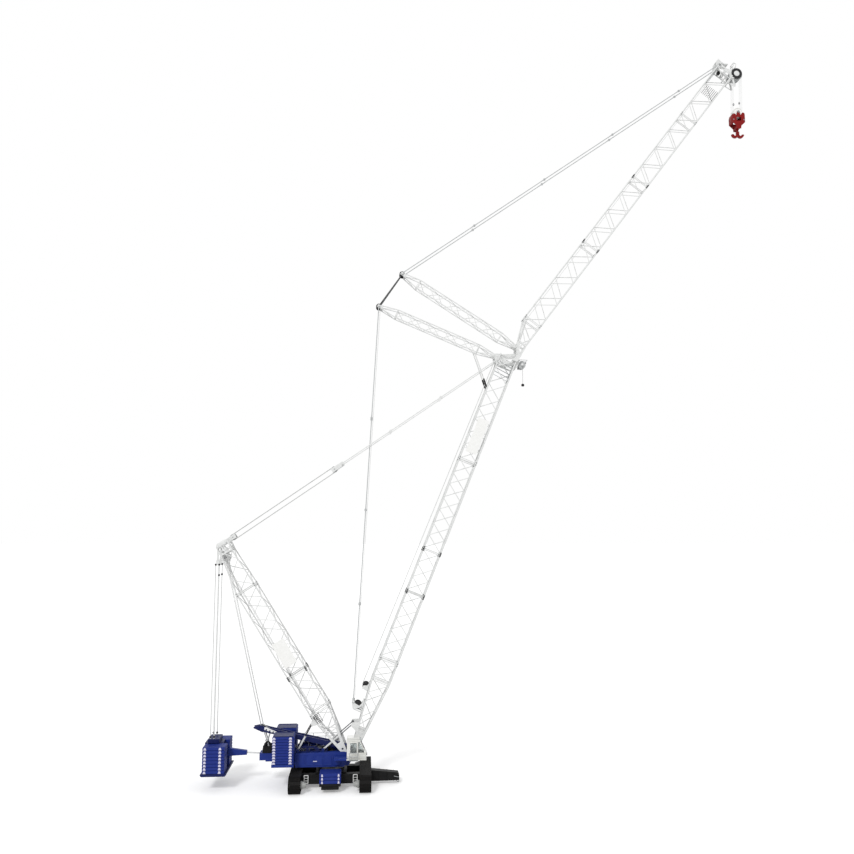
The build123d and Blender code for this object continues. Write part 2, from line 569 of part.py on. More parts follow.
def strut(arm, reach, deep, wide):
    """A slim lattice strut that tapers at both ends."""
    lattice(arm, 0.3, 2.6, (-0.18, -deep), (0.18, deep), wide, 1, chord=0.12, brace=0.07)
    lattice(arm, 2.6, reach - 2.6, (-deep,) * 2, (deep,) * 2, wide, 9, chord=0.12, brace=0.07)
    lattice(arm, reach - 2.6, reach - 0.3, (-deep, -0.18), (deep, 0.18), wide, 1, chord=0.12, brace=0.07)
    cheeks(arm, ((reach - 0.6, -0.25), (reach - 0.6, 0.25), (reach + 0.2, 0.2), (reach + 0.2, -0.2)), (-wide, wide), 0.1)
    cross_pin(*arm.xz(reach), 0.1, -wide - 0.27, wide + 0.27)


with BuildPart() as rear_strut:
    strut(STRUT_R, STRUT_R_TIP, 0.55, 0.6)
    cheeks(STRUT_R, ((-0.2, -0.2), (-0.2, 0.2), (0.6, 0.25), (0.6, -0.25)), (-0.6, 0.6), 0.1)
    # backstops that hold the strut off the boom: a cylinder below and its rod above
    for y in (-0.6, 0.6):
        rod(BOOM.point(49.7, 1.26, y), BOOM.point(50.9, 2.275, y), 0.14)
        rod(BOOM.point(50.9, 2.275, y), STRUT_R.point(3.0, 0.55, y), 0.07)
    cross_pin(*STRUT_R.foot, 0.1201, -0.8, 0.8, mode=Mode.SUBTRACT)
save(rear_strut, "rear_strut")

with BuildPart() as boom_stays:
    tip = STRUT_R.xz(STRUT_R_TIP)
    stay, stay_l = slope_of(STAY_FOOT, tip)
    for y in (-0.8, 0.8):
        rod(stay.point(0, 0, y), stay.point(stay_l, 0, y), 0.055, 4)
        for s in (0.0, 12.0, 24.0, 36.0, stay_l):
            cross_pin(*stay.xz(s), 0.14, y - 0.06, y + 0.06)
    for eye in (tip, STAY_FOOT):
        cross_pin(*eye, 0.1001, -1, 1, mode=Mode.SUBTRACT)
save(boom_stays, "boom_stays")

# --- luffing jib --------------------------------------------------------------------------------
with BuildPart() as jib_foot:
    cheeks(JIB, ((-0.25, -0.25), (-0.25, 0.25), (1.3, 1.2), (1.8, 1.2), (1.8, -0.1), (0.4, -0.25)), (-1.0, 1.0), 0.14)
    lattice(JIB, 1.6, JIB_JOINTS[0], (0, 0), (1.0, JIB_DEEP), JIB_Y, 2)
    cross_pin(*JIB.xz(0.9, 0.9), 0.1, -1.05, 1.05)
    for y0, y1 in both(0.9, 1.1):
        cross_pin(*JIB.foot, PIN_R + PIN_PLAY, y0, y1, mode=Mode.SUBTRACT)
save(jib_foot, "jib_foot")

JIB_SPANS = tuple(zip(JIB_JOINTS[:-1], JIB_JOINTS[1:]))
for name, (s0, s1), bays in (
    ("jib_insert_1", JIB_SPANS[0], 7),
    ("jib_insert_2", JIB_SPANS[1], 7),
    ("jib_insert_3", JIB_SPANS[2], 7),
):
    with BuildPart() as section:
        lattice(JIB, s0, s1, (0, 0), (JIB_DEEP, JIB_DEEP), JIB_Y, bays)
    save(section, name)

with BuildPart() as jib_head:
    lattice(JIB, JIB_SPANS[3][0], JIB_SPANS[3][1], (0, 0), (JIB_DEEP, JIB_DEEP), JIB_Y, 5)
    cheeks(JIB, ((51.6, -0.1), (51.6, 2.55), (52.6, 3.05), (53.1, 3.05), (52.75, 2.3), (52.65, 1.4), (52.9, 0.1), (52.75, -0.7), (52.2, -0.55)), (-0.62, 0.62), 0.08)
    for y0, y1 in both(0.58, 0.66):
        cross_pin(*HEAD_SHEAVE, 0.5, y0, y1)
    cross_pin(*HEAD_SHEAVE, 0.12, -0.66, 0.66)
    cross_pin(*JIB.xz(52.5, 2.4), 0.12, -0.95, 0.95)
    cross_pin(*JIB.xz(52.0, 1.2), 0.1, -0.66, 0.66)
    for n in (0.3, 2.2):
        rod(JIB.point(51.8, n, -1.0), JIB.point(51.8, n, 1.0), 0.08, 4)
save(jib_head, "jib_head")

with BuildPart() as front_strut:
    strut(STRUT_F, STRUT_F_TIP, 0.6, 0.6)
    cheeks(STRUT_F, ((-0.2, -0.2), (-0.2, 0.2), (0.6, 0.25), (0.6, -0.25)), (-0.6, 0.6), 0.1)
    cross_pin(*STRUT_F.foot, 0.1001, -0.8, 0.8, mode=Mode.SUBTRACT)
save(front_strut, "front_strut")

with BuildPart() as jib_stays:
    stay, stay_l = slope_of(STRUT_F.xz(STRUT_F_TIP), JIB.xz(52.5, 2.4))
    for y in (-0.8, 0.8):
        rod(stay.point(0, 0, y), stay.point(stay_l, 0, y), 0.055, 4)
        for s in (0.0, 12.0, 24.0, 36.0, 48.0, stay_l):
            cross_pin(*stay.xz(s), 0.14, y - 0.06, y + 0.06)
    cross_pin(*STRUT_F.xz(STRUT_F_TIP), 0.1001, -1, 1, mode=Mode.SUBTRACT)
    cross_pin(*JIB.xz(52.5, 2.4), 0.1201, -1.1, 1.1, mode=Mode.SUBTRACT)
save(jib_stays, "jib_stays")

# --- hoist --------------------------------------------------------------------------------------
SHEAVE_R = 0.88
for name, places in (("head_sheaves_near", (-0.42, -0.14)), ("head_sheaves_far", (0.14, 0.42))):
    with BuildPart() as wheels:
        for y in places:
            cross_pin(*HEAD_SHEAVE, SHEAVE_R, y - 0.1, y + 0.1)
        cross_pin(*HEAD_SHEAVE, 0.12 + PIN_PLAY, -0.6, 0.6, mode=Mode.SUBTRACT)
    save(wheels, name)

HOOK_X, HOOK_Z = HEAD_SHEAVE[0], 91.0
with BuildPart() as hoist_swivel:
    cross_pin(*HEAD_SHEAVE, 0.2, -0.03, 0.03)
    block(HOOK_X - 0.05, HOOK_X + 0.05, -0.03, 0.03, HEAD_SHEAVE[1] - 1.5, HEAD_SHEAVE[1] - 0.15)
    cross_pin(*HEAD_SHEAVE, 0.12 + PIN_PLAY, -0.6, 0.6, mode=Mode.SUBTRACT)
save(hoist_swivel, "hoist_swivel")

with BuildPart() as hook_block:
    plate(((HOOK_X - 0.92, HOOK_Z - 0.75), (HOOK_X - 0.45, HOOK_Z - 0.25), (HOOK_X + 0.45, HOOK_Z - 0.25), (HOOK_X + 0.92, HOOK_Z - 0.75), (HOOK_X + 0.92, HOOK_Z - 1.95), (HOOK_X + 0.35, HOOK_Z - 2.5), (HOOK_X + 0.3, HOOK_Z - 2.9), (HOOK_X - 0.3, HOOK_Z - 2.9), (HOOK_X - 0.35, HOOK_Z - 2.5), (HOOK_X - 0.92, HOOK_Z - 1.95)), *both(0.55, 0.7))
    block(HOOK_X - 0.3, HOOK_X + 0.3, -0.55, 0.55, HOOK_Z - 2.8, HOOK_Z - 2.2)
    cross_pin(HOOK_X, HOOK_Z - 0.4, 0.1, -0.7, 0.7)
    with Locations((HOOK_X * M, 0, (HOOK_Z - 2.9) * M)):
        Cylinder(0.156 * M, 1.0 * M, align=(Align.CENTER, Align.CENTER, Align.MIN), mode=Mode.SUBTRACT)
save(hook_block, "hook_block")

with BuildPart() as hook_sheaves:
    for y in (-0.42, -0.14, 0.14, 0.42):
        cross_pin(HOOK_X, HOOK_Z - 0.4, 0.66, y - 0.1, y + 0.1)
    cross_pin(HOOK_X, HOOK_Z - 0.4, 0.1001, -0.7, 0.7, mode=Mode.SUBTRACT)
save(hook_sheaves, "hook_sheaves")

with BuildPart() as hook:
    with Locations((HOOK_X * M, 0, (HOOK_Z - 3.4) * M)):
        Cylinder(0.15 * M, 1.3 * M, align=(Align.CENTER, Align.CENTER, Align.MIN))
    with Locations((HOOK_X * M, 0, (HOOK_Z - 2.2 + 0.01) * M)):
        Cylinder(0.26 * M, 0.12 * M, align=(Align.CENTER, Align.CENTER, Align.MIN))
    for side in (-1, 1):
        with BuildSketch(SIDE):
            with Locations(((HOOK_X + side * 0.4) * M, (HOOK_Z - 3.6) * M)):
                Circle(0.5 * M)
                Circle(0.2 * M, mode=Mode.SUBTRACT)
            with Locations(((HOOK_X + side * 0.55) * M, (HOOK_Z - 3.2) * M)):
                Rectangle(0.7 * M, 0.8 * M, mode=Mode.SUBTRACT)
        extrude(amount=0.16 * M, both=True)
    cross_pin(HOOK_X, HOOK_Z - 3.6, 0.08, -0.2, 0.2, mode=Mode.SUBTRACT)
save(hook, "hook")

# --- derrick reeving and pendants to the boom ---------------------------------------------------
LINE, LINE_L = slope_of(MAST_LINK, BOOM_STAY_END)
with BuildPart() as mast_link:
    cheeks(LINE, ((-0.25, -0.25), (-0.25, 0.25), (1.3, 0.3), (1.3, -0.3)), (-0.55, 0.55), 0.08)
    for y in (-0.3, 0.0, 0.3):
        cross_pin(*LINE.xz(0.9), 0.38, y - 0.09, y + 0.09)
    cross_pin(*LINE.xz(0.9), 0.1, -0.6, 0.6)
    cross_pin(*MAST_LINK, 0.12 + PIN_PLAY, -0.7, 0.7, mode=Mode.SUBTRACT)
save(mast_link, "mast_link")

BLOCK_S = 17.2
with BuildPart() as boom_pendants:
    cheeks(LINE, ((BLOCK_S - 1.2, -0.3), (BLOCK_S - 1.2, 0.3), (BLOCK_S + 0.6, 0.25), (BLOCK_S + 0.6, -0.25)), (-0.55, 0.55), 0.08)
    for y in (-0.3, 0.0, 0.3):
        cross_pin(*LINE.xz(BLOCK_S - 0.8), 0.38, y - 0.09, y + 0.09)
    cross_pin(*LINE.xz(BLOCK_S - 0.8), 0.1, -0.6, 0.6)
    rod(LINE.point(BLOCK_S + 0.4, 0, -1.28), LINE.point(BLOCK_S + 0.4, 0, 1.28), 0.12, 6)
    for y in (-1.25, 1.25):
        rod(LINE.point(BLOCK_S + 0.4, 0, y), LINE.point(LINE_L, 0, y), 0.055, 4)
        for s in (BLOCK_S + 0.4, BLOCK_S + 8.0, BLOCK_S + 16.0, LINE_L):
            cross_pin(*LINE.xz(s), 0.14, y - 0.06, y + 0.06)
save(boom_pendants, "boom_pendants")
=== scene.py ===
"""Looks of a crawler crane with luffing jib, derrick mast and hanging ballast, 1:10 scale.

Tables are in metres of the full-size machine and SIZE turns them to the model's metres.
+X points along the boom, +Z up, and the tracks run along Y.
"""

import json
from math import atan2, cos, degrees, hypot, pi, radians, sin

import bmesh
import bpy
from mathutils import Matrix, Vector

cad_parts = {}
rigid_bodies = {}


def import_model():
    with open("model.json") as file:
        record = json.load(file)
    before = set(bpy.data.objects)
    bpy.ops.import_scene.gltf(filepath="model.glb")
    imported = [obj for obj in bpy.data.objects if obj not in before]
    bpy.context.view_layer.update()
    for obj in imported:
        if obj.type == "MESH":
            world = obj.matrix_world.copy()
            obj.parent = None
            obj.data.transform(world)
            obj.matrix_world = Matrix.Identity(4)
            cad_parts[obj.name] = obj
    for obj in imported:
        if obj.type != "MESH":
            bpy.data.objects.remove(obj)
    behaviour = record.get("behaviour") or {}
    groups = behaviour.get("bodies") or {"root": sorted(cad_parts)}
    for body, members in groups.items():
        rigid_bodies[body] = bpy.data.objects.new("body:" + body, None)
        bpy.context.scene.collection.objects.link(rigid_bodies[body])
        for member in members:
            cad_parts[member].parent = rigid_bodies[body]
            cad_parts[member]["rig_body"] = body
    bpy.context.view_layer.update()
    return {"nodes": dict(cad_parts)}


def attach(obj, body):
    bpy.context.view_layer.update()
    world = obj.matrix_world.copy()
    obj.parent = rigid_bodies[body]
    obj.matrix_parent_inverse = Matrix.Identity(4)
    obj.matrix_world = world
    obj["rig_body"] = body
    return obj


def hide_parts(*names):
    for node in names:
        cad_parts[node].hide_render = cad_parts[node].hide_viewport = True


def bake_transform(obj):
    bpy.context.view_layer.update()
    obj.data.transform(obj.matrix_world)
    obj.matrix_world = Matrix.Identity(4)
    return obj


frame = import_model()

SIZE = 0.1  # metres of model per metre of the full-size machine

WORN_FROM, WORN_FULL = 0.42, 0.75  # noise levels where wear starts and is complete
GLOSSIER, DULLER = 0.06, 0.14  # how far the roughness drifts either way
GRAIN_DEPTH, STRAND_DEPTH = 0.0004, 0.0006  # metres on the model


# --- materials ----------------------------------------------------------------------------------
def linear(code):
    """An sRGB hex colour as linear RGBA."""
    parts = [int(code[i : i + 2], 16) / 255 for i in (0, 2, 4)]
    return tuple(c / 12.92 if c <= 0.04045 else ((c + 0.055) / 1.055) ** 2.4 for c in parts) + (1.0,)


def add(tree, kind, links=None, **settings):
    """One node with its settings; links gives each input a value or another node's output."""
    made = tree.nodes.new(kind)
    for key, value in settings.items():
        setattr(made, key, value)
    for socket, value in (links or {}).items():
        if isinstance(value, bpy.types.NodeSocket):
            tree.links.new(value, made.inputs[socket])
        else:
            made.inputs[socket].default_value = value
    return made


def per_metre(mm):
    """Noise scale whose patches are about this many millimetres across."""
    return 1000 / mm


def finish(name, colour, worn, rough, metallic=0.0, patch=45, wear=0.35, grain=1.2, bump=0.15, **shader):
    """A finish whose colour drifts to a worn or dusty tone in patches, over a fine surface grain.

    patch and grain are in millimetres on the model; wear is how far the worn tone goes.
    """
    material = bpy.data.materials.new(name)
    material.use_nodes = True
    tree = material.node_tree
    tree.nodes.clear()
    place = add(tree, "ShaderNodeTexCoord").outputs["Object"]
    broad = add(tree, "ShaderNodeTexNoise", {"Vector": place, "Scale": per_metre(patch), "Detail": 6.0,
        "Roughness": 0.62})
    fine = add(tree, "ShaderNodeTexNoise", {"Vector": place, "Scale": per_metre(grain), "Detail": 2.0})
    amount = add(tree, "ShaderNodeMapRange", {"Value": broad.outputs["Fac"], "From Min": WORN_FROM,
        "From Max": WORN_FULL, "To Min": 0.0, "To Max": wear})
    tone = add(tree, "ShaderNodeMix", {"Factor": amount.outputs["Result"]}, data_type="RGBA")
    tone.inputs[6].default_value, tone.inputs[7].default_value = linear(colour), linear(worn)
    dull = add(tree, "ShaderNodeMapRange", {"Value": broad.outputs["Fac"], "From Min": 0.3, "From Max": 0.8,
        "To Min": rough - GLOSSIER, "To Max": rough + DULLER})
    skin = add(tree, "ShaderNodeBump", {"Height": fine.outputs["Fac"], "Strength": bump, "Distance": GRAIN_DEPTH})
    links = {"Base Color": tone.outputs[2], "Roughness": dull.outputs["Result"], "Normal": skin.outputs["Normal"],
        "Metallic": metallic}
    links.update(shader)
    surface = add(tree, "ShaderNodeBsdfPrincipled", links)
    add(tree, "ShaderNodeOutputMaterial", {"Surface": surface.outputs["BSDF"]})
    return material


SATIN = {"Specular IOR Level": 0.18}  # dusty coats that hardly mirror the sky

# two-pack polyurethane over blasted steel: even gloss, slight orange peel, pale dust in the lee
BLUE = finish("blue_polyurethane_paint", "1c3180", "3a4884", 0.38, patch=60, wear=0.28, **SATIN)
DARK_BLUE = finish("dark_blue_polyurethane_paint", "131c50", "2a3366", 0.4, patch=50, wear=0.3, **SATIN)
# heavy cast blocks painted by dipping: same blue, flatter and dustier
BALLAST = finish("ballast_blue_dipped_paint", "1a2c7b", "36437c", 0.52, patch=38, wear=0.35, grain=2.0, bump=0.3,
    **SATIN)
BLACK = finish("black_chassis_enamel", "101011", "2b2a28", 0.5, patch=40, wear=0.35, **SATIN)
WHITE = finish("white_lattice_polyurethane_paint", "dfe0df", "b4b6b5", 0.4, patch=35, wear=0.4)
CREAM = finish("pale_grey_deck_enamel", "cfcfca", "aeada4", 0.36, patch=50, wear=0.35)
CAB_WHITE = finish("white_cab_enamel", "e3e3df", "c3c2ba", 0.3, patch=45, wear=0.35)
PENDANT = finish("weathered_pendant_bar_paint", "bdbfbf", "85888a", 0.45, patch=12, wear=0.7)
RED = finish("red_hook_block_enamel", "861212", "4f0e0d", 0.4, patch=30, wear=0.5, **SATIN)
# rolled and cast steel left bare: rust brown in the hollows, bright where it rubs
TRACK_STEEL = finish("cast_manganese_track_steel", "0e0e0f", "2c2620", 0.6, metallic=0.25, patch=16, wear=0.4,
    grain=1.5, bump=0.4, **SATIN)
GREY_STEEL = finish("machined_grey_steel", "8b8d8f", "5f5d5a", 0.32, metallic=0.85, patch=20, wear=0.4, grain=0.8)
SHEAVE = finish("cast_iron_sheave_dark", "26272a", "4c4842", 0.48, metallic=0.6, patch=18, wear=0.45)
GALVANISED = finish("galvanised_grating_steel", "a9adae", "7f8384", 0.45, metallic=0.8, patch=9, wear=0.6)
HOSE = finish("black_rubber_hydraulic_hose", "161616", "2c2b29", 0.6, patch=20, wear=0.4, grain=0.9, bump=0.3)
VINYL = finish("grey_seat_vinyl", "4a4c50", "36373a", 0.55, patch=10, wear=0.5, grain=0.9, bump=0.5)
# oiled rams and cast housings: a dull sheen with dark smears; markings are chalky and pale
RAM = finish("oiled_ram_steel", "6b6d70", "4b4c4e", 0.3, metallic=0.4, patch=16, wear=0.5)
GEARBOX = finish("cast_grey_gearbox_paint", "a3a4a2", "6f6f6c", 0.5, patch=14, wear=0.6, grain=1.8, bump=0.3)
MARK = finish("pale_marking_paint", "d3d0e2", "aaa8bf", 0.42, patch=14, wear=0.5)
# pale laminated glass with faint smears: it lets the room behind show through
GLASS = finish("tinted_laminated_glass", "eff4f3", "dde4e3", 0.04, patch=30, wear=0.6, bump=0.02,
    **{"Transmission Weight": 0.92, "IOR": 1.4})
LENS = finish("clear_lamp_polycarbonate", "dfe3e4", "c6cbcc", 0.12, patch=10, wear=0.5, bump=0.05,
    **{"Transmission Weight": 0.4, "IOR": 1.58})
PANEL = finish("white_sign_panel_sheet", "f0f0ee", "dcdcd8", 0.3, patch=30, wear=0.4)


def wire_rope(name, colour, worn):
    """Wire rope: the lay of its strands shows as slanting bands, drawn coarse to show."""
    material = finish(name, colour, worn, 0.5, metallic=0.2, patch=14, wear=0.6)
    tree = material.node_tree
    surface = next(n for n in tree.nodes if n.type == "BSDF_PRINCIPLED")
    place = next(n for n in tree.nodes if n.type == "TEX_COORD").outputs["Object"]
    lay = add(tree, "ShaderNodeTexWave", {"Vector": place, "Scale": per_metre(12), "Distortion": 0.0},
        bands_direction="DIAGONAL")
    strands = add(tree, "ShaderNodeBump", {"Height": lay.outputs["Fac"], "Strength": 0.5, "Distance": STRAND_DEPTH})
    tree.links.new(strands.outputs["Normal"], surface.inputs["Normal"])
    return material


# galvanised rope is pale grey, and its tone is raised further as painted light, so that bunched ropes that shade each
# other still read pale
ROPE = wire_rope("galvanised_rope_with_painted_light", "d4d5d4", "a2a3a2")
GREASED = wire_rope("greased_wire_rope", "5c5d5d", "38383a")


# --- the machine's arms and joints ------------------------------------------------------------------
class Arm:
    """The side-view frame of a boom, mast or strut: s runs along it, n square to it."""

    def __init__(self, foot, angle):
        self.foot, self.angle = foot, radians(angle)

    def xz(self, s, n=0.0):
        c, d = cos(self.angle), sin(self.angle)
        return (self.foot[0] + s * c - n * d, self.foot[1] + s * d + n * c)

    def at(self, s, n=0.0, y=0.0):
        x, z = self.xz(s, n)
        return Vector((x, y, z))

    def lay(self, s=0.0, n=0.0, y=0.0):
        """Turns a part made with X along the arm and Z square to it into its place."""
        return Matrix.Translation(self.at(s, n, y)) @ Matrix.Rotation(-self.angle, 4, "Y")


def span(a, b):
    """The arm that runs from a to b, and its length."""
    return Arm(a, degrees(atan2(b[1] - a[1], b[0] - a[0]))), hypot(b[0] - a[0], b[1] - a[1])


SIDE = Arm((0, 0), 0)  # the plain side view: s is X and n is Z
BOOM = Arm((2.6, 3.65), 68.2)
MAST = Arm((1.79, 3.79), 122.5)
JIB = Arm(BOOM.xz(55.2, -1.15), 52.7)
STRUT_R = Arm(BOOM.xz(54.1, 1.55), 157.3)
STRUT_F = Arm(JIB.xz(0.9, 0.9), 147.4)
STRUT_R_TIP, STRUT_F_TIP = 17.1, 18.3
BOOM_HALF, BOOM_Y = 1.15, 1.02
MAST_HALF, MAST_Y = 1.25, 1.45
JIB_DEEP, JIB_Y = 2.45, 1.0
CHORD, BRACE = 0.18, 0.1
BOOM_JOINTS = (12.0, 21.0, 26.8, 39.5, 54.6)
JIB_JOINTS = (5.0, 18.5, 30.5, 42.5, 52.0)
MAST_JOINTS = (6.1, 11.5, 23.8, 29.6)
MAST_HEAD = MAST.xz(30.3, 0.15)
MAST_LINK = MAST.xz(30.3, -1.0)
BOOM_STAY_END = BOOM.xz(53.6, 1.3)
A_FRAME, A_REACH = Arm((1.65, 4.4), 167.3), 10.9
A_TIP = A_FRAME.xz(A_REACH - 0.4)
HEAD_SHEAVE = JIB.xz(52.93, -0.34)
STAY_FOOT = BOOM.xz(5.86, 2.3)
LINE, LINE_L = span(MAST_LINK, BOOM_STAY_END)
LINK_S, BLOCK_S = 0.9, 17.2
BLOCK_WHEEL_S = BLOCK_S - 0.8
# where the rope wheels sit along their shafts
FALL_ROW = (-0.42, -0.14, 0.14, 0.42)
LINE_ROW = (-0.4, -0.24, -0.08, 0.08, 0.24, 0.4)
STRUT_ROW = (-0.42, -0.28, -0.14, 0.0, 0.14, 0.28, 0.42)
HOOK_X, HOOK_Z = HEAD_SHEAVE[0], 91.0
HOOK_AXLE_Z = HOOK_Z - 0.4
TIP_R, TIP_F = STRUT_R.xz(STRUT_R_TIP), STRUT_F.xz(STRUT_F_TIP)
MAST_WHEELS, BOOM_WHEELS = MAST.xz(28.6, 0.1), BOOM.xz(54.35, -2.1)
JIB_STAY_END = JIB.xz(52.5, 2.4)
TRACK_X, TRACK_W, TRACK_L, TRACK_H = 4.23, 1.45, 10.3, 2.0
DECK_Z = 2.4


SHARP = 35  # degrees: sharper edges are eased, and stay crisp in the shading


# --- shaping ------------------------------------------------------------------------------------
def clear():
    """Back to object mode with nothing selected."""
    if bpy.context.mode != "OBJECT":
        bpy.ops.object.mode_set(mode="OBJECT")
    bpy.ops.object.select_all(action="DESELECT")


def pick(piece):
    clear()
    piece.select_set(True)
    bpy.context.view_layer.objects.active = piece
    return piece


def open_up(piece, kind="FACE"):
    """Edit mode on one piece with nothing selected."""
    pick(piece)
    bpy.ops.object.mode_set(mode="EDIT")
    bpy.ops.mesh.select_mode(type=kind)
    bpy.ops.mesh.select_all(action="DESELECT")


def choose(piece, test):
    """Selects the faces whose middle and normal pass a test."""
    mesh = bmesh.from_edit_mesh(piece.data)
    for face in mesh.faces:
        face.select_set(bool(test(face.calc_center_median(), face.normal)))
    bmesh.update_edit_mesh(piece.data)


def close_up(merge=0.0):
    """Outward normals, then back to object mode."""
    bpy.ops.mesh.select_mode(type="VERT")
    bpy.ops.mesh.select_all(action="SELECT")
    if merge:
        bpy.ops.mesh.remove_doubles(threshold=merge)
        bpy.ops.mesh.delete_loose()
        bpy.ops.mesh.select_all(action="SELECT")
    bpy.ops.mesh.normals_make_consistent(inside=False)
    bpy.ops.object.mode_set(mode="OBJECT")


def ease(piece, width):
    """Rounds the sharp edges of a piece by an applied bevel."""
    if width:
        pick(piece)
        round_off = piece.modifiers.new("ease", "BEVEL")
        round_off.width, round_off.segments = width, 1
        round_off.limit_method, round_off.angle_limit = "ANGLE", radians(SHARP)
        bpy.ops.object.modifier_apply(modifier=round_off.name)
    return piece


def block(x, y, z, edge=0.03, rim=0.0, sunk=0.0, faces=((0, -1, 0),)):
    """A block between pairs of x, y and z. Its named faces can be framed by a rim and sunk in."""
    clear()
    low, high = Vector((x[0], y[0], z[0])), Vector((x[1], y[1], z[1]))
    bpy.ops.mesh.primitive_cube_add(size=1, location=(low + high) / 2, scale=high - low)
    bpy.ops.object.transform_apply(location=True, rotation=True, scale=True)
    piece = bpy.context.object
    if rim:
        for way in faces:
            open_up(piece)
            choose(piece, lambda middle, normal: normal.dot(Vector(way)) > 0.99)
            bpy.ops.mesh.inset(thickness=rim)
            bpy.ops.mesh.extrude_region_move(TRANSFORM_OT_translate={"value": tuple(-sunk * w for w in way)})
            bpy.ops.object.mode_set(mode="OBJECT")
    return ease(piece, edge)


def cut(piece, *cutters):
    """Cuts shapes out of a piece, as a torch or a bore does."""
    for cutter in cutters:
        pick(piece)
        opening = piece.modifiers.new("opening", "BOOLEAN")
        opening.operation, opening.solver, opening.object = "DIFFERENCE", "EXACT", cutter
        bpy.ops.object.modifier_apply(modifier=opening.name)
        bpy.data.objects.remove(cutter)
    return piece


def disc(s, n, r, points=20):
    """A round outline."""
    return [(s + r * cos(2 * pi * i / points), n + r * sin(2 * pi * i / points)) for i in range(points)]


def grown(outline, by):
    """An outline made larger about its middle."""
    a, b = (sum(values) / len(outline) for values in zip(*outline))
    return [(a + by * (x - a), b + by * (z - b)) for x, z in outline]


def plate(outline, y, arm=None, edge=0.02, holes=()):
    """A cut plate: an outline in the side view, or in an arm's frame, between two places along Y."""
    clear()
    bpy.ops.mesh.primitive_circle_add(vertices=len(outline), fill_type="NGON")
    piece = bpy.context.object
    for vertex, (a, b) in zip(piece.data.vertices, outline):
        x, z = arm.xz(a, b) if arm else (a, b)
        vertex.co = (x, y[0], z)
    open_up(piece)
    bpy.ops.mesh.select_all(action="SELECT")
    bpy.ops.mesh.extrude_region_move(TRANSFORM_OT_translate={"value": (0, y[1] - y[0], 0)})
    close_up()
    cut(piece, *(plate(hole, (y[0] - 0.1, y[1] + 0.1), arm, edge=0) for hole in holes))
    return ease(piece, edge)


def turned(profile, x=0.0, z=0.0, y=0.0, steps=20):
    """A part turned about a line along Y: its profile is (radius, place along Y) all round."""
    clear()
    bpy.ops.mesh.primitive_circle_add(vertices=len(profile), fill_type="NOTHING")
    piece = bpy.context.object
    for vertex, (radius, along) in zip(piece.data.vertices, profile):
        vertex.co = (radius, along, 0)
    open_up(piece, "VERT")
    bpy.ops.mesh.select_all(action="SELECT")
    bpy.ops.mesh.spin(steps=steps, angle=2 * pi, axis=(0, 1, 0), center=(0, 0, 0))
    close_up(merge=0.0005)
    piece.data.transform(Matrix.Translation((x, y, z)))
    return piece


def upright(profile, x, y, z, steps=20):
    """A part turned about a vertical line: its profile is (radius, height)."""
    piece = turned(profile, steps=steps)
    piece.data.transform(Matrix.Translation((x, y, z)) @ Matrix.Rotation(pi / 2, 4, "X"))
    return piece


def pin(x, z, r, y0, y1, steps=14, head=0.0):
    """A round pin along Y with chamfered ends, or with a wider head at each."""
    c = 0.25 * r
    if head:
        t = 0.35 * r
        ends = [(0, y0), (head - c, y0), (head, y0 + c), (head, y0 + t), (r, y0 + t), (r, y1 - t), (head, y1 - t),
            (head, y1 - c), (head - c, y1), (0, y1)]
    else:
        ends = [(0, y0), (r - c, y0), (r, y0 + c), (r, y1 - c), (r - c, y1), (0, y1)]
    return turned(ends, x, z, steps=steps)


def sheave(x, z, y, r, wide, bore, steps=36):
    """A rope wheel: grooved rim, thin dished web and thick hub."""
    w = wide / 2
    half = [(bore, w), (bore + 0.28 * (r - bore), w), (bore + 0.34 * (r - bore), 0.45 * w),
        (r - 0.2 * (r - bore), 0.4 * w), (r - 0.14 * (r - bore), w), (r, w), (r - 0.05 * r, 0.55 * w),
        (r - 0.1 * r, 0.0)]
    return turned(half + [(a, -b) for a, b in half[-2::-1]], x, z, y, steps)


def wheels(centre, row, *shape, **how):
    """The same rope wheel at several places along its shaft."""
    return [sheave(*centre, y, *shape, **how) for y in row]


def drum(x, z, r, y0, y1, flange, lay=0.07):
    """A winch drum: two flanges and a barrel of rope turns, each turn a ridge."""
    turns = max(4, int((y1 - y0 - 0.24) / lay))
    pitch = (y1 - y0 - 0.24) / turns
    rope = []
    for i in range(turns):
        start = y0 + 0.12 + i * pitch
        rope += [(r - 0.02, start), (r + 0.02, start + 0.5 * pitch)]
    profile = [(0, y0), (flange, y0), (flange, y0 + 0.1), (r, y0 + 0.12), *rope, (r - 0.02, y1 - 0.12),
        (flange, y1 - 0.1), (flange, y1), (0, y1)]
    return turned(profile, x, z, steps=28)


PINCH = 0.06  # the part of a brace's length that each flat end takes


def bar_master(sides, pinched=False):
    """A bar of unit radius from z 0 to 1; pinched ends are drawn flat, as on a welded brace."""
    clear()
    bpy.ops.mesh.primitive_cylinder_add(vertices=sides, radius=1, depth=1, location=(0, 0, 0.5))
    bpy.ops.object.transform_apply(location=True, rotation=True, scale=True)
    piece = bpy.context.object
    if pinched:
        for end in (0, 1):
            open_up(piece)
            choose(piece, lambda middle, normal: abs(normal.z) > 0.9 and abs(middle.z - end) < 0.01)
            inward = PINCH if end == 0 else -PINCH
            bpy.ops.transform.translate(value=(0, 0, inward))
            bpy.ops.mesh.extrude_region_move(TRANSFORM_OT_translate={"value": (0, 0, -inward)})
            bpy.ops.transform.resize(value=(0.45, 1.25, 1), center_override=(0, 0, end))
            bpy.ops.object.mode_set(mode="OBJECT")
    return piece


ALONG, ACROSS = Vector((1, 0, 0)), Vector((0, 1, 0))


def between(a, b, radius, flat=ACROSS):
    """The matrix that lays a unit bar from a to b, its local X towards flat."""
    run = b - a
    z = run.normalized()
    x = (flat - flat.dot(z) * z).normalized()
    turn = Matrix((x, z.cross(x), z)).transposed().to_4x4()
    return Matrix.Translation(a) @ turn @ Matrix.Diagonal((radius, radius, run.length, 1))


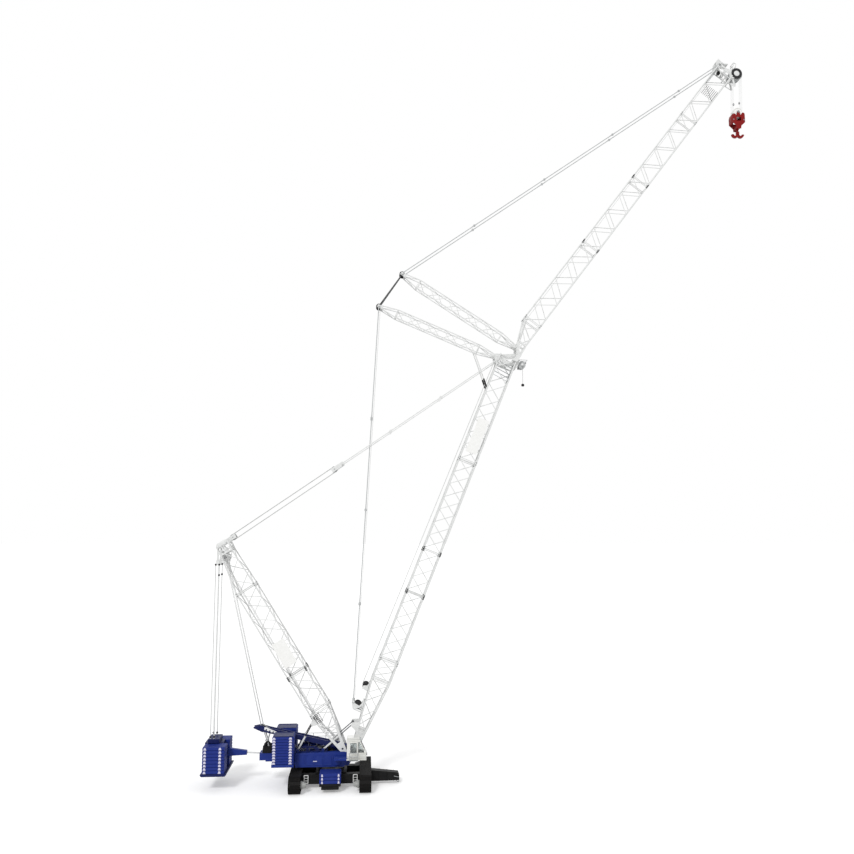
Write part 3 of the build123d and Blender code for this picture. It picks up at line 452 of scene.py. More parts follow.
def copies(master, places):
    """Copies of a master, each with its own mesh, at a list of matrices."""
    made = []
    for matrix in places:
        mesh = master.data.copy()
        mesh.transform(matrix)
        if matrix.determinant() < 0:
            mesh.flip_normals()
        copy = bpy.data.objects.new(master.name, mesh)
        bpy.context.scene.collection.objects.link(copy)
        made.append(copy)
    return made


TUBE, STICK, LINE_BAR = bar_master(12), bar_master(8, pinched=True), bar_master(6)
masters = [TUBE, STICK, LINE_BAR]


def master(piece):
    masters.append(piece)
    return piece


def tubes(ends, radius, bar=TUBE):
    """Bars of one radius between pairs of places."""
    places = []
    for a, b in ends:
        a, b = Vector(a), Vector(b)
        places.append(between(a, b, radius, ALONG if abs((b - a).normalized().y) > 0.9 else ACROSS))
    return copies(bar, places)


def rungs(arm, places, half_y, radius, bar=TUBE):
    """Bars straight across the machine, one at each (s, n) of an arm."""
    return tubes([(arm.at(s, n, -half_y), arm.at(s, n, half_y)) for s, n in places], radius, bar)


def bent(points, radius):
    """A tube bent through points: its runs overlap a little at each bend."""
    return tubes(zip(points[:-1], points[1:]), radius)


def hose(points, radius):
    """A smooth hose along points."""
    clear()
    bpy.ops.curve.primitive_nurbs_path_add()
    path = bpy.context.object
    path.data.splines.clear()
    line = path.data.splines.new("NURBS")
    line.points.add(len(points) - 1)
    for knot, place in zip(line.points, points):
        knot.co = (*place, 1)
    line.order_u, line.use_endpoint_u = 3, True
    path.data.bevel_depth, path.data.bevel_resolution, path.data.resolution_u = radius, 2, 6
    path.data.use_fill_caps = True
    pick(path)
    bpy.ops.object.convert(target="MESH")
    return bpy.context.object


def flat_list(groups):
    for group in groups:
        if isinstance(group, bpy.types.Object):
            yield group
        else:
            yield from flat_list(group)


def join(groups):
    parts = list(flat_list(groups))
    clear()
    for part in parts:
        part.select_set(True)
    bpy.context.view_layer.objects.active = parts[0]
    if len(parts) > 1:
        bpy.ops.object.join()
    return bpy.context.object


def fit(name, body, material, *groups, smooth=SHARP):
    """Joins parts to one piece of one finish, brings it to the model's size and lets it ride."""
    piece = join(groups)
    piece.name = piece.data.name = name
    piece.data.transform(Matrix.Scale(SIZE, 4))
    bpy.ops.object.shade_smooth_by_angle(angle=radians(smooth))
    piece.data.materials.clear()
    piece.data.materials.append(material)
    for face in piece.data.polygons:
        face.material_index = 0
    if body:
        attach(piece, body)
    return piece


def build(node, material, *groups, smooth=SHARP):
    """A detailed piece that stands for a CAD node and rides on its body."""
    piece = fit(node + "_fine", frame["nodes"][node]["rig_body"], material, *groups, smooth=smooth)
    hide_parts(node)
    return piece


def both(y0, y1):
    return ((y0, y1), (-y1, -y0))


# --- lattice sections ---------------------------------------------------------------------------
# a chord end: a forked lug with its cross pin, one master turned to each chord
LUG = master(join([
    block((-0.11, 0.11), (-0.15, -0.05), (-0.32, 0.32), edge=0.03),
    block((-0.11, 0.11), (0.05, 0.15), (-0.32, 0.32), edge=0.03),
    block((-0.08, 0.08), (-0.05, 0.05), (-0.3, 0.3), edge=0.02),
    ]))
LUG_PIN = master(join([pin(0, 0.14, 0.05, -0.2, 0.2, steps=8, head=0.075),
    pin(0, -0.14, 0.05, -0.2, 0.2, steps=8, head=0.075)]))


def zigzag(s0, s1, low, high, bays, flip=False):
    """The diagonals of a truss panel, bay by bay, as pairs of (s, n)."""
    lo = lambda s: low[0] + (low[1] - low[0]) * (s - s0) / (s1 - s0)
    hi = lambda s: high[0] + (high[1] - high[0]) * (s - s0) / (s1 - s0)
    pitch = (s1 - s0) / bays
    bars = []
    for i in range(bays):
        a, b = s0 + i * pitch, s0 + (i + 1) * pitch
        bars.append(((a, lo(a)), (b, hi(b))) if (i % 2 == 0) != flip else ((a, hi(a)), (b, lo(b))))
    return bars


def truss(arm, s0, s1, low, high, half_y, bays, chord=CHORD, brace=BRACE):
    """One section: four chord tubes, zigzag braces on its four sides and posts at both ends."""
    inset = chord / 2
    a, b = s0 + inset, s1 - inset
    chords, sticks = [], []
    for y in (-half_y, half_y):
        for n0, n1 in (low, high):
            chords.append((arm.at(s0, n0, y), arm.at(s1, n1, y)))
        ends = zigzag(a, b, low, high, bays, flip=y > 0)
        ends += [((a, low[0]), (a, high[0])), ((b, low[1]), (b, high[1]))]
        sticks += [between(arm.at(*p, y), arm.at(*q, y), brace / 2) for p, q in ends]
    for n0, n1 in (low, high):
        start, end = arm.at(s0, n0), arm.at(s1, n1)
        run = (end - start).normalized()
        length = (end - start).length
        across = zigzag(inset, length - inset, (-half_y, -half_y), (half_y, half_y), bays, flip=n0 != low[0])
        across += [((i, -half_y), (i, half_y)) for i in (inset, length - inset)]
        face = ACROSS.cross(run)
        sticks += [between(start + run * s + ACROSS * y, start + run * t + ACROSS * w, brace / 2, face)
            for (s, y), (t, w) in across]
    return tubes(chords, chord / 2) + copies(STICK, sticks)


def lug_places(arm, joints, low, high, half_y):
    """Where the chord ends sit: on all four chords at each s of the joints."""
    lay = Matrix.Rotation(pi / 2, 4, "Y")
    return [arm.lay(s, n, y) @ lay for s in joints for n in (low, high) for y in (-half_y, half_y)]


def inserts(part, body, arm, joints, low, high, half_y, bays):
    """The straight sections between joints, each with its number of bays, and the pins of every joint."""
    for i, count in enumerate(bays):
        ends = joints[i : i + 2]
        build(f"{part}_insert_{i + 1}", WHITE, truss(arm, *ends, (low, low), (high, high), half_y, count),
            copies(LUG, lug_places(arm, ends, low, high, half_y)))
    fit(part + "_joint_pins", body, GREY_STEEL,
        copies(LUG_PIN, lug_places(arm, joints[: len(bays) + 1], low, high, half_y)))


def cheeks(arm, outline, places, thick, holes=()):
    """The same plate at several places across the machine."""
    first = plate(outline, (places[0] - thick / 2, places[0] + thick / 2), arm, holes=holes)
    return [first] + copies(first, [Matrix.Translation((0, y - places[0], 0)) for y in places[1:]])


def pins(*rows):
    return [pin(x, z, r, y0, y1, head=r * 1.35) for (x, z), r, y0, y1 in rows]


# derrick mast
MAST_LEG = ((-0.3, -0.25), (-0.3, 0.25), (0.4, 0.35), (3.2, 0.85), (3.3, 0.6), (1.6, 0.22), (1.6, -0.22), (3.3, -0.6),
    (3.2, -0.85), (0.4, -0.35))
build("mast_foot", WHITE,
    cheeks(MAST, MAST_LEG, (-1.48, 1.48), 0.2, holes=[disc(0.75, 0, 0.13)]),
    cheeks(MAST, ((4.9, 1.1), (5.1, 1.75), (5.5, 1.75), (5.7, 1.1)), (-1.43, 1.43), 0.08),
    truss(MAST, 3.2, MAST_JOINTS[0], (-0.76, -MAST_HALF), (0.76, MAST_HALF), MAST_Y, 2))
inserts("mast", "derrick_mast", MAST, MAST_JOINTS, -MAST_HALF, MAST_HALF, MAST_Y, (3, 7))
MAST_TOP = ((29.0, -1.2), (29.0, 0.5), (30.3, 0.45), (30.6, 0.15), (30.6, -1.0), (30.2, -1.3))
build("mast_head", WHITE,
    truss(MAST, *MAST_JOINTS[2:], (-MAST_HALF, -1.1), (MAST_HALF, 0.3), MAST_Y, 3),
    cheeks(MAST, MAST_TOP, (-MAST_Y, MAST_Y, -0.8, 0.8), 0.12,
        holes=[((29.14, -0.3), (29.14, 0.36), (30.02, 0.32), (30.08, -0.1)),
            ((29.14, -1.06), (29.14, -0.44), (30.1, -0.24), (30.08, -1.12))]),
    pins((MAST_HEAD, 0.12, -1.56, 1.56), (MAST_LINK, 0.12, -1.56, 1.56)))
# the sheave pack takes the white lattice paint as painted light, lifting the shade that the pack and its ropes cast
# on it
fit("mast_head_sheaves", "derrick_mast", WHITE,
    wheels(MAST_WHEELS, (-0.6, -0.45, -0.3, -0.15, 0.0, 0.15, 0.3, 0.45, 0.6), 0.5, 0.11, 0.12))
fit("mast_head_shaft", "derrick_mast", GREY_STEEL, pin(*MAST_WHEELS, 0.115, -1.4, 1.4, head=0.16))

long_bars = [((4.95, n), (6.05, n)) for n in (0.25, 0.5, 0.75, 1.0)]
cross_bars = [((4.95 + 0.22 * i, 0.2), (4.95 + 0.22 * i, 1.05)) for i in range(6)]
fit("mast_foot_grating", "derrick_mast", BLACK,
    tubes([(MAST.at(*a, -1.5), MAST.at(*b, -1.5)) for a, b in long_bars + cross_bars], 0.022, LINE_BAR))

# main boom
BOOM_LEG = ((-0.25, -0.22), (-0.25, 0.22), (0.5, 0.35), (2.9, 0.62), (2.9, -0.62), (0.5, -0.35))
build("boom_foot", WHITE,
    cheeks(BOOM, BOOM_LEG, (-1.02, 1.02), 0.2, holes=[((0.9, -0.16), (0.9, 0.16), (2.0, 0.34), (2.0, -0.34))]),
    cheeks(BOOM, ((2.6, 0.4), (3.1, 1.5), (3.5, 1.5), (3.9, 0.5)), (-1.02, 1.02), 0.16),
    truss(BOOM, 2.9, 9.3, (-0.53, -BOOM_HALF), (0.53, BOOM_HALF), BOOM_Y, 4),
    truss(BOOM, 9.3, BOOM_JOINTS[0], (-BOOM_HALF,) * 2, (BOOM_HALF,) * 2, BOOM_Y, 2))
inserts("boom", "main_boom", BOOM, BOOM_JOINTS, -BOOM_HALF, BOOM_HALF, BOOM_Y, (5, 3, 7))
BOOM_TOP = ((53.2, -1.3), (53.2, 1.3), (53.8, 1.75), (54.4, 1.75), (54.6, 0.9), (55.5, -1.0), (55.4, -1.4),
    (54.9, -1.35), (54.4, -1.6), (53.7, -1.6))
build("boom_head", WHITE,
    truss(BOOM, *BOOM_JOINTS[3:], (-BOOM_HALF,) * 2, (BOOM_HALF,) * 2, BOOM_Y, 8),
    cheeks(BOOM, BOOM_TOP, (-0.78, 0.78), 0.1,
        holes=[((53.42, 0.35), (53.42, 1.1), (53.8, 1.35), (54.1, 1.2), (54.3, 0.6)),
            ((53.95, 0.05), (54.4, 0.4), (54.95, -0.75), (54.2, -0.8)),
            ((53.4, -0.35), (53.7, -0.3), (53.95, -0.9), (53.85, -1.2), (53.4, -1.05))]),
    cheeks(BOOM, ((54.3, -1.3), (54.3, -0.6), (55.5, -1.0), (55.4, -1.5)), (-1.2, 1.2), 0.1),
    cheeks(BOOM, ((54.3, -1.25), (54.3, -0.6), (54.7, -0.7), (54.7, -1.25)), (-1.0, 1.0), 0.4),
    pins((BOOM_WHEELS, 0.12, -0.86, 0.86), (STRUT_R.foot, 0.12, -0.86, 0.86),
        (BOOM.xz(53.5, 0.0), 0.15, -0.86, 0.86)))
build("boom_head_sheaves", PENDANT, wheels(BOOM_WHEELS, (-0.45, -0.15, 0.15, 0.45), 0.5, 0.16, 0.121))

# luffing jib
build("jib_foot", WHITE,
    cheeks(JIB, ((-0.25, -0.25), (-0.25, 0.25), (1.3, 1.2), (1.8, 1.2), (1.8, -0.1), (0.4, -0.25)), (-1.0, 1.0), 0.14,
        holes=[((0.45, 0.0), (0.75, 0.45), (1.55, 0.45), (1.55, 0.05)),
            ((1.2, 0.6), (1.4, 0.95), (1.62, 0.95), (1.62, 0.6))]),
    truss(JIB, 1.6, JIB_JOINTS[0], (0, 0), (1.0, JIB_DEEP), JIB_Y, 2),
    pins((JIB.xz(0.9, 0.9), 0.1, -1.1, 1.1)))
inserts("jib", "luffing_jib", JIB, JIB_JOINTS, 0, JIB_DEEP, JIB_Y, (7, 7, 7))
JIB_TOP = ((51.6, -0.1), (51.6, 2.55), (52.6, 3.05), (53.1, 3.05), (52.75, 2.3), (52.65, 1.4), (52.9, 0.1),
    (52.75, -0.7), (52.2, -0.55))
build("jib_head", WHITE,
    truss(JIB, *JIB_JOINTS[3:], (0, 0), (JIB_DEEP,) * 2, JIB_Y, 5),
    cheeks(JIB, JIB_TOP, (-0.62, 0.62), 0.08, holes=[((51.75, 1.35), (51.75, 2.3), (52.3, 2.15), (52.45, 1.45)),
        ((51.75, 0.1), (51.75, 0.95), (52.4, 0.95), (52.3, 0.55))]),
    [turned([(0, y0), (0.38, y0), (0.42, y0 + 0.02), (0.42, y1 - 0.02), (0.38, y1), (0, y1)], *HEAD_SHEAVE, steps=32)
        for y0, y1 in both(0.57, 0.7)],
    plate(((52.95, 3.05), (53.1, 2.95), (53.02, 2.35), (53.1, 1.9), (53.4, 1.5), (53.3, 1.42), (52.95, 1.8),
        (52.85, 2.35)), (-0.6, 0.6), JIB),
    cheeks(JIB, ((51.0, -0.1), (51.1, -1.2), (51.3, -1.35), (51.5, -1.1), (52.1, -0.5), (52.0, -0.1)), (-0.53, 0.53),
        0.05, holes=[((51.15, -0.25), (51.22, -1.0), (51.75, -0.42), (51.7, -0.25))]),
    pins((HEAD_SHEAVE, 0.12, -0.68, 0.68), (JIB_STAY_END, 0.12, -0.98, 0.98), (JIB.xz(52.0, 1.2), 0.1, -0.68, 0.68)),
    rungs(JIB, ((51.55, 0.6), (51.8, 2.2)), 1.0, 0.08))


def strut(arm, reach, deep):
    """One of the two struts: a slim lattice that tapers to its foot and to its tip."""
    wide = 0.6
    return [
        truss(arm, 0.3, 2.6, (-0.18, -deep), (0.18, deep), wide, 1, 0.12, 0.07),
        truss(arm, 2.6, reach - 2.6, (-deep,) * 2, (deep,) * 2, wide, 9, 0.12, 0.07),
        truss(arm, reach - 2.6, reach - 0.3, (-deep, -0.18), (deep, 0.18), wide, 1, 0.12, 0.07),
        cheeks(arm, ((reach - 0.6, -0.25), (reach - 0.6, 0.25), (reach + 0.2, 0.2), (reach + 0.2, -0.2)),
            (-wide, wide), 0.1),
        cheeks(arm, ((-0.2, -0.2), (-0.2, 0.2), (0.6, 0.25), (0.6, -0.25)), (-wide, wide), 0.1),
        pins((arm.xz(reach), 0.1, -wide - 0.29, wide + 0.29)),
    ]


build("rear_strut", WHITE, strut(STRUT_R, STRUT_R_TIP, 0.55),
    tubes([(BOOM.at(50.3, 1.77, y), STRUT_R.at(3.0, 0.55, y)) for y in (-0.6, 0.6)], 0.07))
fit("strut_backstop_cylinders", "main_boom", BLACK,
    tubes([(BOOM.at(49.7, 1.26, y), BOOM.at(50.6, 2.02, y)) for y in (-0.6, 0.6)], 0.11))
build("front_strut", WHITE, strut(STRUT_F, STRUT_F_TIP, 0.6))
for name, body, tip in (("rear_strut_tip_sheaves", "main_boom", TIP_R),
    ("front_strut_tip_sheaves", "luffing_jib", TIP_F)):
    fit(name, body, SHEAVE, wheels(tip, STRUT_ROW, 0.36, 0.1, 0.1))


# --- stays and pendants -------------------------------------------------------------------------
EYE = master(turned([(0.05, -0.07), (0.14, -0.07), (0.17, -0.03), (0.17, 0.03), (0.14, 0.07), (0.05, 0.07)],
    steps=12))


def stay(a, b, places, y):
    """One strand of pendant bars: flat-ended bars with a pinned eye at each joint."""
    line, _ = span(a, b)
    runs = [(line.at(s + 0.12, 0, y), line.at(t - 0.12, 0, y)) for s, t in zip(places[:-1], places[1:])]
    return tubes(runs, 0.06, STICK), copies(EYE, [Matrix.Translation(line.at(s, 0, y)) for s in places])


build("boom_stays", PENDANT, [stay(STAY_FOOT, TIP_R, (0, 12, 24, 36, span(STAY_FOOT, TIP_R)[1]), y)
    for y in (-0.8, 0.8)])
build("jib_stays", PENDANT,
    [stay(TIP_F, JIB_STAY_END, (0, 12, 24, 36, 48, span(TIP_F, JIB_STAY_END)[1]), y) for y in (-0.8, 0.8)])
build("mast_link", WHITE,
    cheeks(LINE, ((-0.25, -0.25), (-0.25, 0.25), (1.3, 0.3), (1.3, -0.3)), (-0.55, 0.55), 0.08))
fit("mast_link_sheaves", "derrick_link", PENDANT, wheels(LINE.xz(LINK_S), LINE_ROW, 0.38, 0.13, 0.1),
    pin(*LINE.xz(LINK_S), 0.1, -0.62, 0.62))
build("boom_pendants", WHITE,
    cheeks(LINE, ((BLOCK_S - 1.2, -0.3), (BLOCK_S - 1.2, 0.3), (BLOCK_S + 0.6, 0.25), (BLOCK_S + 0.6, -0.25)),
        (-0.55, 0.55), 0.08),
    rungs(LINE, ((BLOCK_S + 0.4, 0),), 1.28, 0.12),
    [stay(MAST_LINK, BOOM_STAY_END, (BLOCK_S + 0.4, BLOCK_S + 8.0, BLOCK_S + 16.0, LINE_L), y)
        for y in (-1.25, 1.25)])
fit("pendant_block_sheaves", "pendants", PENDANT, wheels(LINE.xz(BLOCK_WHEEL_S), LINE_ROW, 0.38, 0.13, 0.1),
    pin(*LINE.xz(BLOCK_WHEEL_S), 0.1, -0.62, 0.62))

# --- hoist: head wheels, hook block and hook ----------------------------------------------------
# the head sheaves take the pale pendant paint as painted light, lifting the shade on their undersides, which are lit
# from behind
for name, places in (("head_sheaves_near", FALL_ROW[:2]), ("head_sheaves_far", FALL_ROW[2:])):
    build(name, PENDANT, wheels(HEAD_SHEAVE, places, 0.88, 0.2, 0.127, steps=48))
    fit(name + "_hubs", frame["nodes"][name]["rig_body"], CREAM,
        [turned([(0.2, w), (0.5, w), (0.5, w + 0.02), (0.2, w + 0.02)], *HEAD_SHEAVE, y, steps=32) for y in places
            for w in (-0.08, 0.06)])
# the outer guide wheel that stands proud of the head's left cheek
fit("head_guide_wheel", "luffing_jib", SHEAVE, sheave(*HEAD_SHEAVE, -0.67, 0.78, 0.08, 0.41, steps=48))
fit("jib_cross_walk", "luffing_jib", BLACK,
    rungs(JIB, [(48.3 + 0.2 * i, 0.15 + 0.26 * k) for i in range(2) for k in range(8)], 0.98, 0.03, LINE_BAR),
    block(*((a, b) for a, b in zip(JIB.at(51.2, 1.8, -0.5), JIB.at(51.2, 1.8, -0.5) + Vector((0.4, 0.5, 0.45)))),
        edge=0.04))
fit("jib_head_gratings", "luffing_jib", GALVANISED,
    rungs(JIB, [(50.0 + 0.22 * i, n) for i in range(6) for n in (2.33, 2.2)], 0.95, 0.035))
BLOCK_SIDE = ((-0.92, -1.0), (-0.62, -0.66), (-0.28, -0.9), (-0.16, -0.28), (0.16, -0.28), (0.28, -0.9), (0.6, -0.5),
    (0.86, -0.56), (0.92, -0.85), (0.92, -1.95), (0.35, -2.5), (0.3, -2.9), (-0.3, -2.9), (-0.35, -2.5),
    (-0.92, -1.95))
build("hook_block", RED,
    [plate([(HOOK_X + a, HOOK_Z + b) for a, b in BLOCK_SIDE], y,
        holes=[[(HOOK_X + a, HOOK_Z + b) for a, b in ((-0.3, -1.2), (0.35, -1.2), (0.35, -1.75), (-0.3, -1.75))]])
        for y in both(0.54, 0.62)],
    block((HOOK_X - 0.3, HOOK_X + 0.3), (-0.56, 0.56), (HOOK_Z - 2.8, HOOK_Z - 2.2), edge=0.05),
    [plate([(HOOK_X + side * a, HOOK_Z + b) for a, b in ((0.72, -0.62), (0.9, -0.78), (0.9, -1.9), (0.72, -2.05))],
        (-0.56, 0.56)) for side in (-1, 1)])
build("hook_sheaves", PANEL, wheels((HOOK_X, HOOK_AXLE_Z), FALL_ROW, 0.66, 0.2, 0.101, steps=40))
fit("hook_block_pins", "lower_block", GREY_STEEL, pin(HOOK_X, HOOK_AXLE_Z, 0.1, -0.67, 0.67, head=0.18),
    [pin(HOOK_X + a, HOOK_Z - 1.6, 0.06, -0.66, 0.66, head=0.1) for a in (-0.75, 0.75)])
# the sockets that end the hoist rope, just above the wheels
fit("rope_sockets", "lower_block", GREY_STEEL,
    [upright(((0.02, 0), (0.09, 0), (0.12, 0.04), (0.12, 0.2), (0.07, 0.3), (0.02, 0.3)), HOOK_X + a, y, HOOK_Z + b,
        steps=14) for a, y, b in ((-0.58, -0.42, 0.6), (0.69, 0.42, 1.3))])

# --- undercarriage ------------------------------------------------------------------------------
SHOES_FLAT, SHOES_END = 19, 7
STRAIGHT = TRACK_L - TRACK_H
# a track shoe from the side: three grousers below a pad, made lying along X and turned
SHOE = master(join([
    plate(((-0.2, 0.035), (-0.2, 0.1), (0.2, 0.1), (0.2, 0.035), (0.17, 0.035), (0.16, 0.0), (0.1, 0.0),
        (0.09, 0.035), (0.04, 0.035), (0.03, 0.0), (-0.03, 0.0), (-0.04, 0.035), (-0.09, 0.035), (-0.1, 0.0),
        (-0.16, 0.0), (-0.17, 0.035)), (-TRACK_W / 2, TRACK_W / 2), edge=0),
    *(plate(((-0.21, 0.1), (-0.16, 0.2), (0.16, 0.2), (0.21, 0.1)), (y - 0.07, y + 0.07), edge=0)
        for y in (-0.45, 0.45)),
    ]))
shoe_places = []
for side in (-1, 1):
    for z, turn in ((0.0, 0.0), (TRACK_H, pi)):
        for i in range(SHOES_FLAT):
            y = -STRAIGHT / 2 + (i + 0.5) * STRAIGHT / SHOES_FLAT
            shoe_places.append((side, Matrix.Translation((side * TRACK_X, y, z)) @ Matrix.Rotation(turn, 4, "X")))
    for end in (-1, 1):
        for i in range(SHOES_END):
            turn = pi * (i + 0.5) / SHOES_END
            about = Matrix.Translation((side * TRACK_X, end * STRAIGHT / 2,
                TRACK_H / 2)) @ Matrix.Rotation(end * turn, 4, "X") @ Matrix.Translation((0, 0, 0.015 - TRACK_H / 2))
            shoe_places.append((side, about))
for name, side in (("track_left", -1), ("track_right", 1)):
    build(name, TRACK_STEEL, copies(SHOE, [m @ Matrix.Rotation(pi / 2, 4, "Z") for s, m in shoe_places if s == side]),
        smooth=20)

across = Matrix.Rotation(-pi / 2, 4, "Z")  # turns a part made along Y to lie along X
drive = master(turned([(0, -0.5), (0.32, -0.5), (0.42, -0.42), (0.42, 0.42), (0.32, 0.5), (0, 0.5)], steps=28))
bolt = master(turned([(0, 0), (0.045, 0), (0.045, 0.05), (0, 0.05)], steps=6))
fit("track_drives", "undercarriage", BLACK,
    copies(drive, [Matrix.Translation((x, y, 1.0)) @ across for x in (-TRACK_X, TRACK_X)
        for y in (-STRAIGHT / 2, STRAIGHT / 2)]))
fit("track_drive_bolts", "undercarriage", GREY_STEEL,
    copies(bolt, [Matrix.Translation((x + s * 0.46, y + 0.26 * cos(a * pi / 5),
        1.0 + 0.26 * sin(a * pi / 5))) @ Matrix.Rotation(-s * pi / 2, 4, "Z")
        for x in (-TRACK_X, TRACK_X) for y in (-STRAIGHT / 2, STRAIGHT / 2) for s in (-1, 1) for a in range(10)]))


SLAB_GAP = 0.012  # half the shadow line between two slabs


def stack(x, y, z, plates):
    """A pile of ballast slabs with a shadow gap between them."""
    pitch = (z[1] - z[0]) / plates
    slab = block(x, y, (z[0] + SLAB_GAP, z[0] + pitch - SLAB_GAP), edge=0.05)
    return [slab] + copies(slab, [Matrix.Translation((0, 0, i * pitch)) for i in range(1, plates)])


def marks(xs, y_faces, z, plates, wide=0.4):
    """Pale lifting lugs down the ends of a pile, one on each slab."""
    pitch = (z[1] - z[0]) / plates
    lug = plate(((-wide / 2, -0.36 * pitch), (wide / 2, -0.36 * pitch), (0.28 * wide, 0.36 * pitch),
        (-0.28 * wide, 0.36 * pitch)), (-0.05, 0.05), edge=0.012)
    masters.append(lug)
    return copies(lug, [Matrix.Translation((x, y, z[0] + (i + 0.5) * pitch)) for i in range(plates) for x in xs
        for y in y_faces])


build("central_ballast", BALLAST,
    [stack((-1.28, 1.28), y, (1.1, 2.3), 3) for y in both(2.3, 4.4)])
fit("central_ballast_feet", "undercarriage", BLACK,
    [block((-1.28, 1.28), y, (0.8, 1.1), edge=0.04) for y in both(2.3, 4.4)],
    [block((-1.05, 1.05), y, (0.42, 0.8), edge=0.05) for y in both(2.35, 4.36)])
fit("central_ballast_lugs", "undercarriage", MARK, marks((-0.95, 1.02), (-4.38, 4.38), (1.1, 2.3), 3, 0.24))
LADDERS, LADDER_HALF, LADDER_Y, LADDER_Z = (-2.97, 3.0), 0.24, -2.5, (0.72, 1.62)
fit("boarding_ladders", "undercarriage", PANEL,
    [bent([(x + side * LADDER_HALF, LADDER_Y, LADDER_Z[up])
        for side, up in ((-1, 0), (-1, 1), (1, 1), (1, 0), (-1, 0))], 0.05)
        for x in LADDERS],
    [tubes([((x - LADDER_HALF, LADDER_Y, z), (x + LADDER_HALF, LADDER_Y, z))], 0.03) for x in LADDERS
        for z in (1.0, 1.3)],
    [tubes([((x + s, LADDER_Y, z), (x + s, -2.2, z))], 0.04) for x in LADDERS for s in (-LADDER_HALF, LADDER_HALF)
        for z in (0.95, 1.4)])
GEARBOX_SIDE = ((0, 0), (0.44, 0), (0.46, 0.06), (0.46, 0.2), (0.38, 0.24), (0.38, 0.42), (0.3, 0.46), (0.3, 0.62),
    (0, 0.64))
fit("travel_gearboxes", "undercarriage", GEARBOX,
    copies(master(turned(GEARBOX_SIDE, steps=24)),
        [Matrix.Translation((x, y, 1.0)) @ Matrix.Rotation(turn, 4, "Z")
            for x, turn in ((-3.5, -pi / 2), (3.5, pi / 2)) for y in (-STRAIGHT / 2, STRAIGHT / 2)]))
fit("slew_ring_bolts", "superstructure", GREY_STEEL,
    copies(bolt, [Matrix.Translation((1.38 * cos(a * pi / 18), 1.38 * sin(a * pi / 18),
        2.0)) @ Matrix.Rotation(-pi / 2, 4, "X") for a in range(36)]))
fit("beam_hook", "undercarriage", BLACK, turned([(0.1, -0.45), (0.22, -0.45), (0.22, -0.35), (0.1, -0.35)], 8.2, 0.84,
    steps=18), pin(8.2, 0.84, 0.07, -0.62, -0.22, head=0.1))
fit("beam_shackle", "undercarriage", GALVANISED,
    bent([(8.15, -0.4, 0.4), (8.15, -0.4, 0.15), (8.3, -0.4, 0.06), (8.42, -0.4, 0.15), (8.42, -0.4, 0.4)], 0.035),
    tubes([((7.78, -0.99, 0.93), (8.36, -0.99, 0.8))], 0.035))
fit("beam_ribs", "undercarriage", BLACK, [block((x, x + 0.08), (-0.97, 0.17), (0.36, 1.72 - (x - 4.7) * 0.11),
    edge=0.02) for x in (4.9, 5.9, 6.9, 7.7)])

# --- superstructure -----------------------------------------------------------------------------
STACK_X, STACK_Z = (-7.06, -4.47), (3.2, 6.4)
build("counterweight_stacks", BALLAST, [stack(STACK_X, y, STACK_Z, 10) for y in both(1.0, 3.5)])
fit("counterweight_caps", "superstructure", DARK_BLUE,
    [block((-6.95, -4.58), (y0 + 0.1, y1 - 0.1), (6.38, 6.48), edge=0.03, rim=0.15, sunk=0.05, faces=((0, 0, 1),))
        for y0, y1 in both(1.0, 3.5)])
fit("counterweight_lugs", "superstructure", MARK, marks((-6.84, -4.86), (-3.48, 3.48), STACK_Z, 10, 0.42))

TRAY_X = MAST_HEAD[0]
TRAY_Z = (2.15, 5.25)
build("tray_stacks", BALLAST, [stack((TRAY_X - 0.8, TRAY_X + 1.86), y, TRAY_Z, 8) for y in both(0.9, 3.05)])
fit("tray_lugs", "ballast_tray", MARK, marks((TRAY_X - 0.5, TRAY_X + 1.3), (-3.03, 3.03), TRAY_Z, 8, 0.36))
TRAY_BED = ((-1.0, 2.0), (-0.85, 1.85), (1.95, 1.85), (2.1, 2.0), (2.1, 2.15), (-1.0, 2.15))
build("tray_frame", DARK_BLUE,
    plate([(TRAY_X + a, b) for a, b in TRAY_BED], (-3.1, 3.1), edge=0.03),
    block((TRAY_X - 0.9, TRAY_X + 1.3), (-0.85, 0.85), (2.15, 5.3), edge=0.05, rim=0.15, sunk=0.05,
        faces=((-1, 0, 0),)),
    block((TRAY_X - 0.5, TRAY_X + 0.9), (-1.3, 1.3), (5.3, 5.8), edge=0.06, rim=0.12, sunk=0.04, faces=((0, 0, 1),)),
    [plate([(TRAY_X + a, b) for a, b in ((1.3, 3.4), (1.9, 3.8), (1.9, 4.2), (1.3, 4.6))], y)
        for y in both(0.3, 0.4)],
    pin(TRAY_X + 1.75, 4.0, 0.1, -0.46, 0.46, head=0.15))

fit("tray_pendant_shackles", "ballast_tray", SHEAVE,
    [pin(TRAY_X + x, z, 0.09, y - 0.13, y + 0.13, head=0.12) for y in (-1.1, 1.1)
        for x, z in ((0.22, MAST_HEAD[1] - 2.3), (0.22, MAST_HEAD[1] - 3.6), (-0.22, MAST_HEAD[1] - 2.3),
            (-0.22, 6.05), (0.22, 6.05))])

winch_parts = []
for x, r in ((-0.13, 0.45), (-2.0, 0.48), (-3.45, 0.48)):
    winch_parts.append(drum(x, 3.35, r, -1.02, 1.02, r + 0.14))
    winch_parts += [plate(((x - 0.4, DECK_Z + 0.15), (x + 0.4, DECK_Z + 0.15), (x + 0.22, 3.5), (x - 0.22, 3.5)), y)
        for y in both(1.03, 1.1)]
build("winches", SHEAVE, winch_parts)

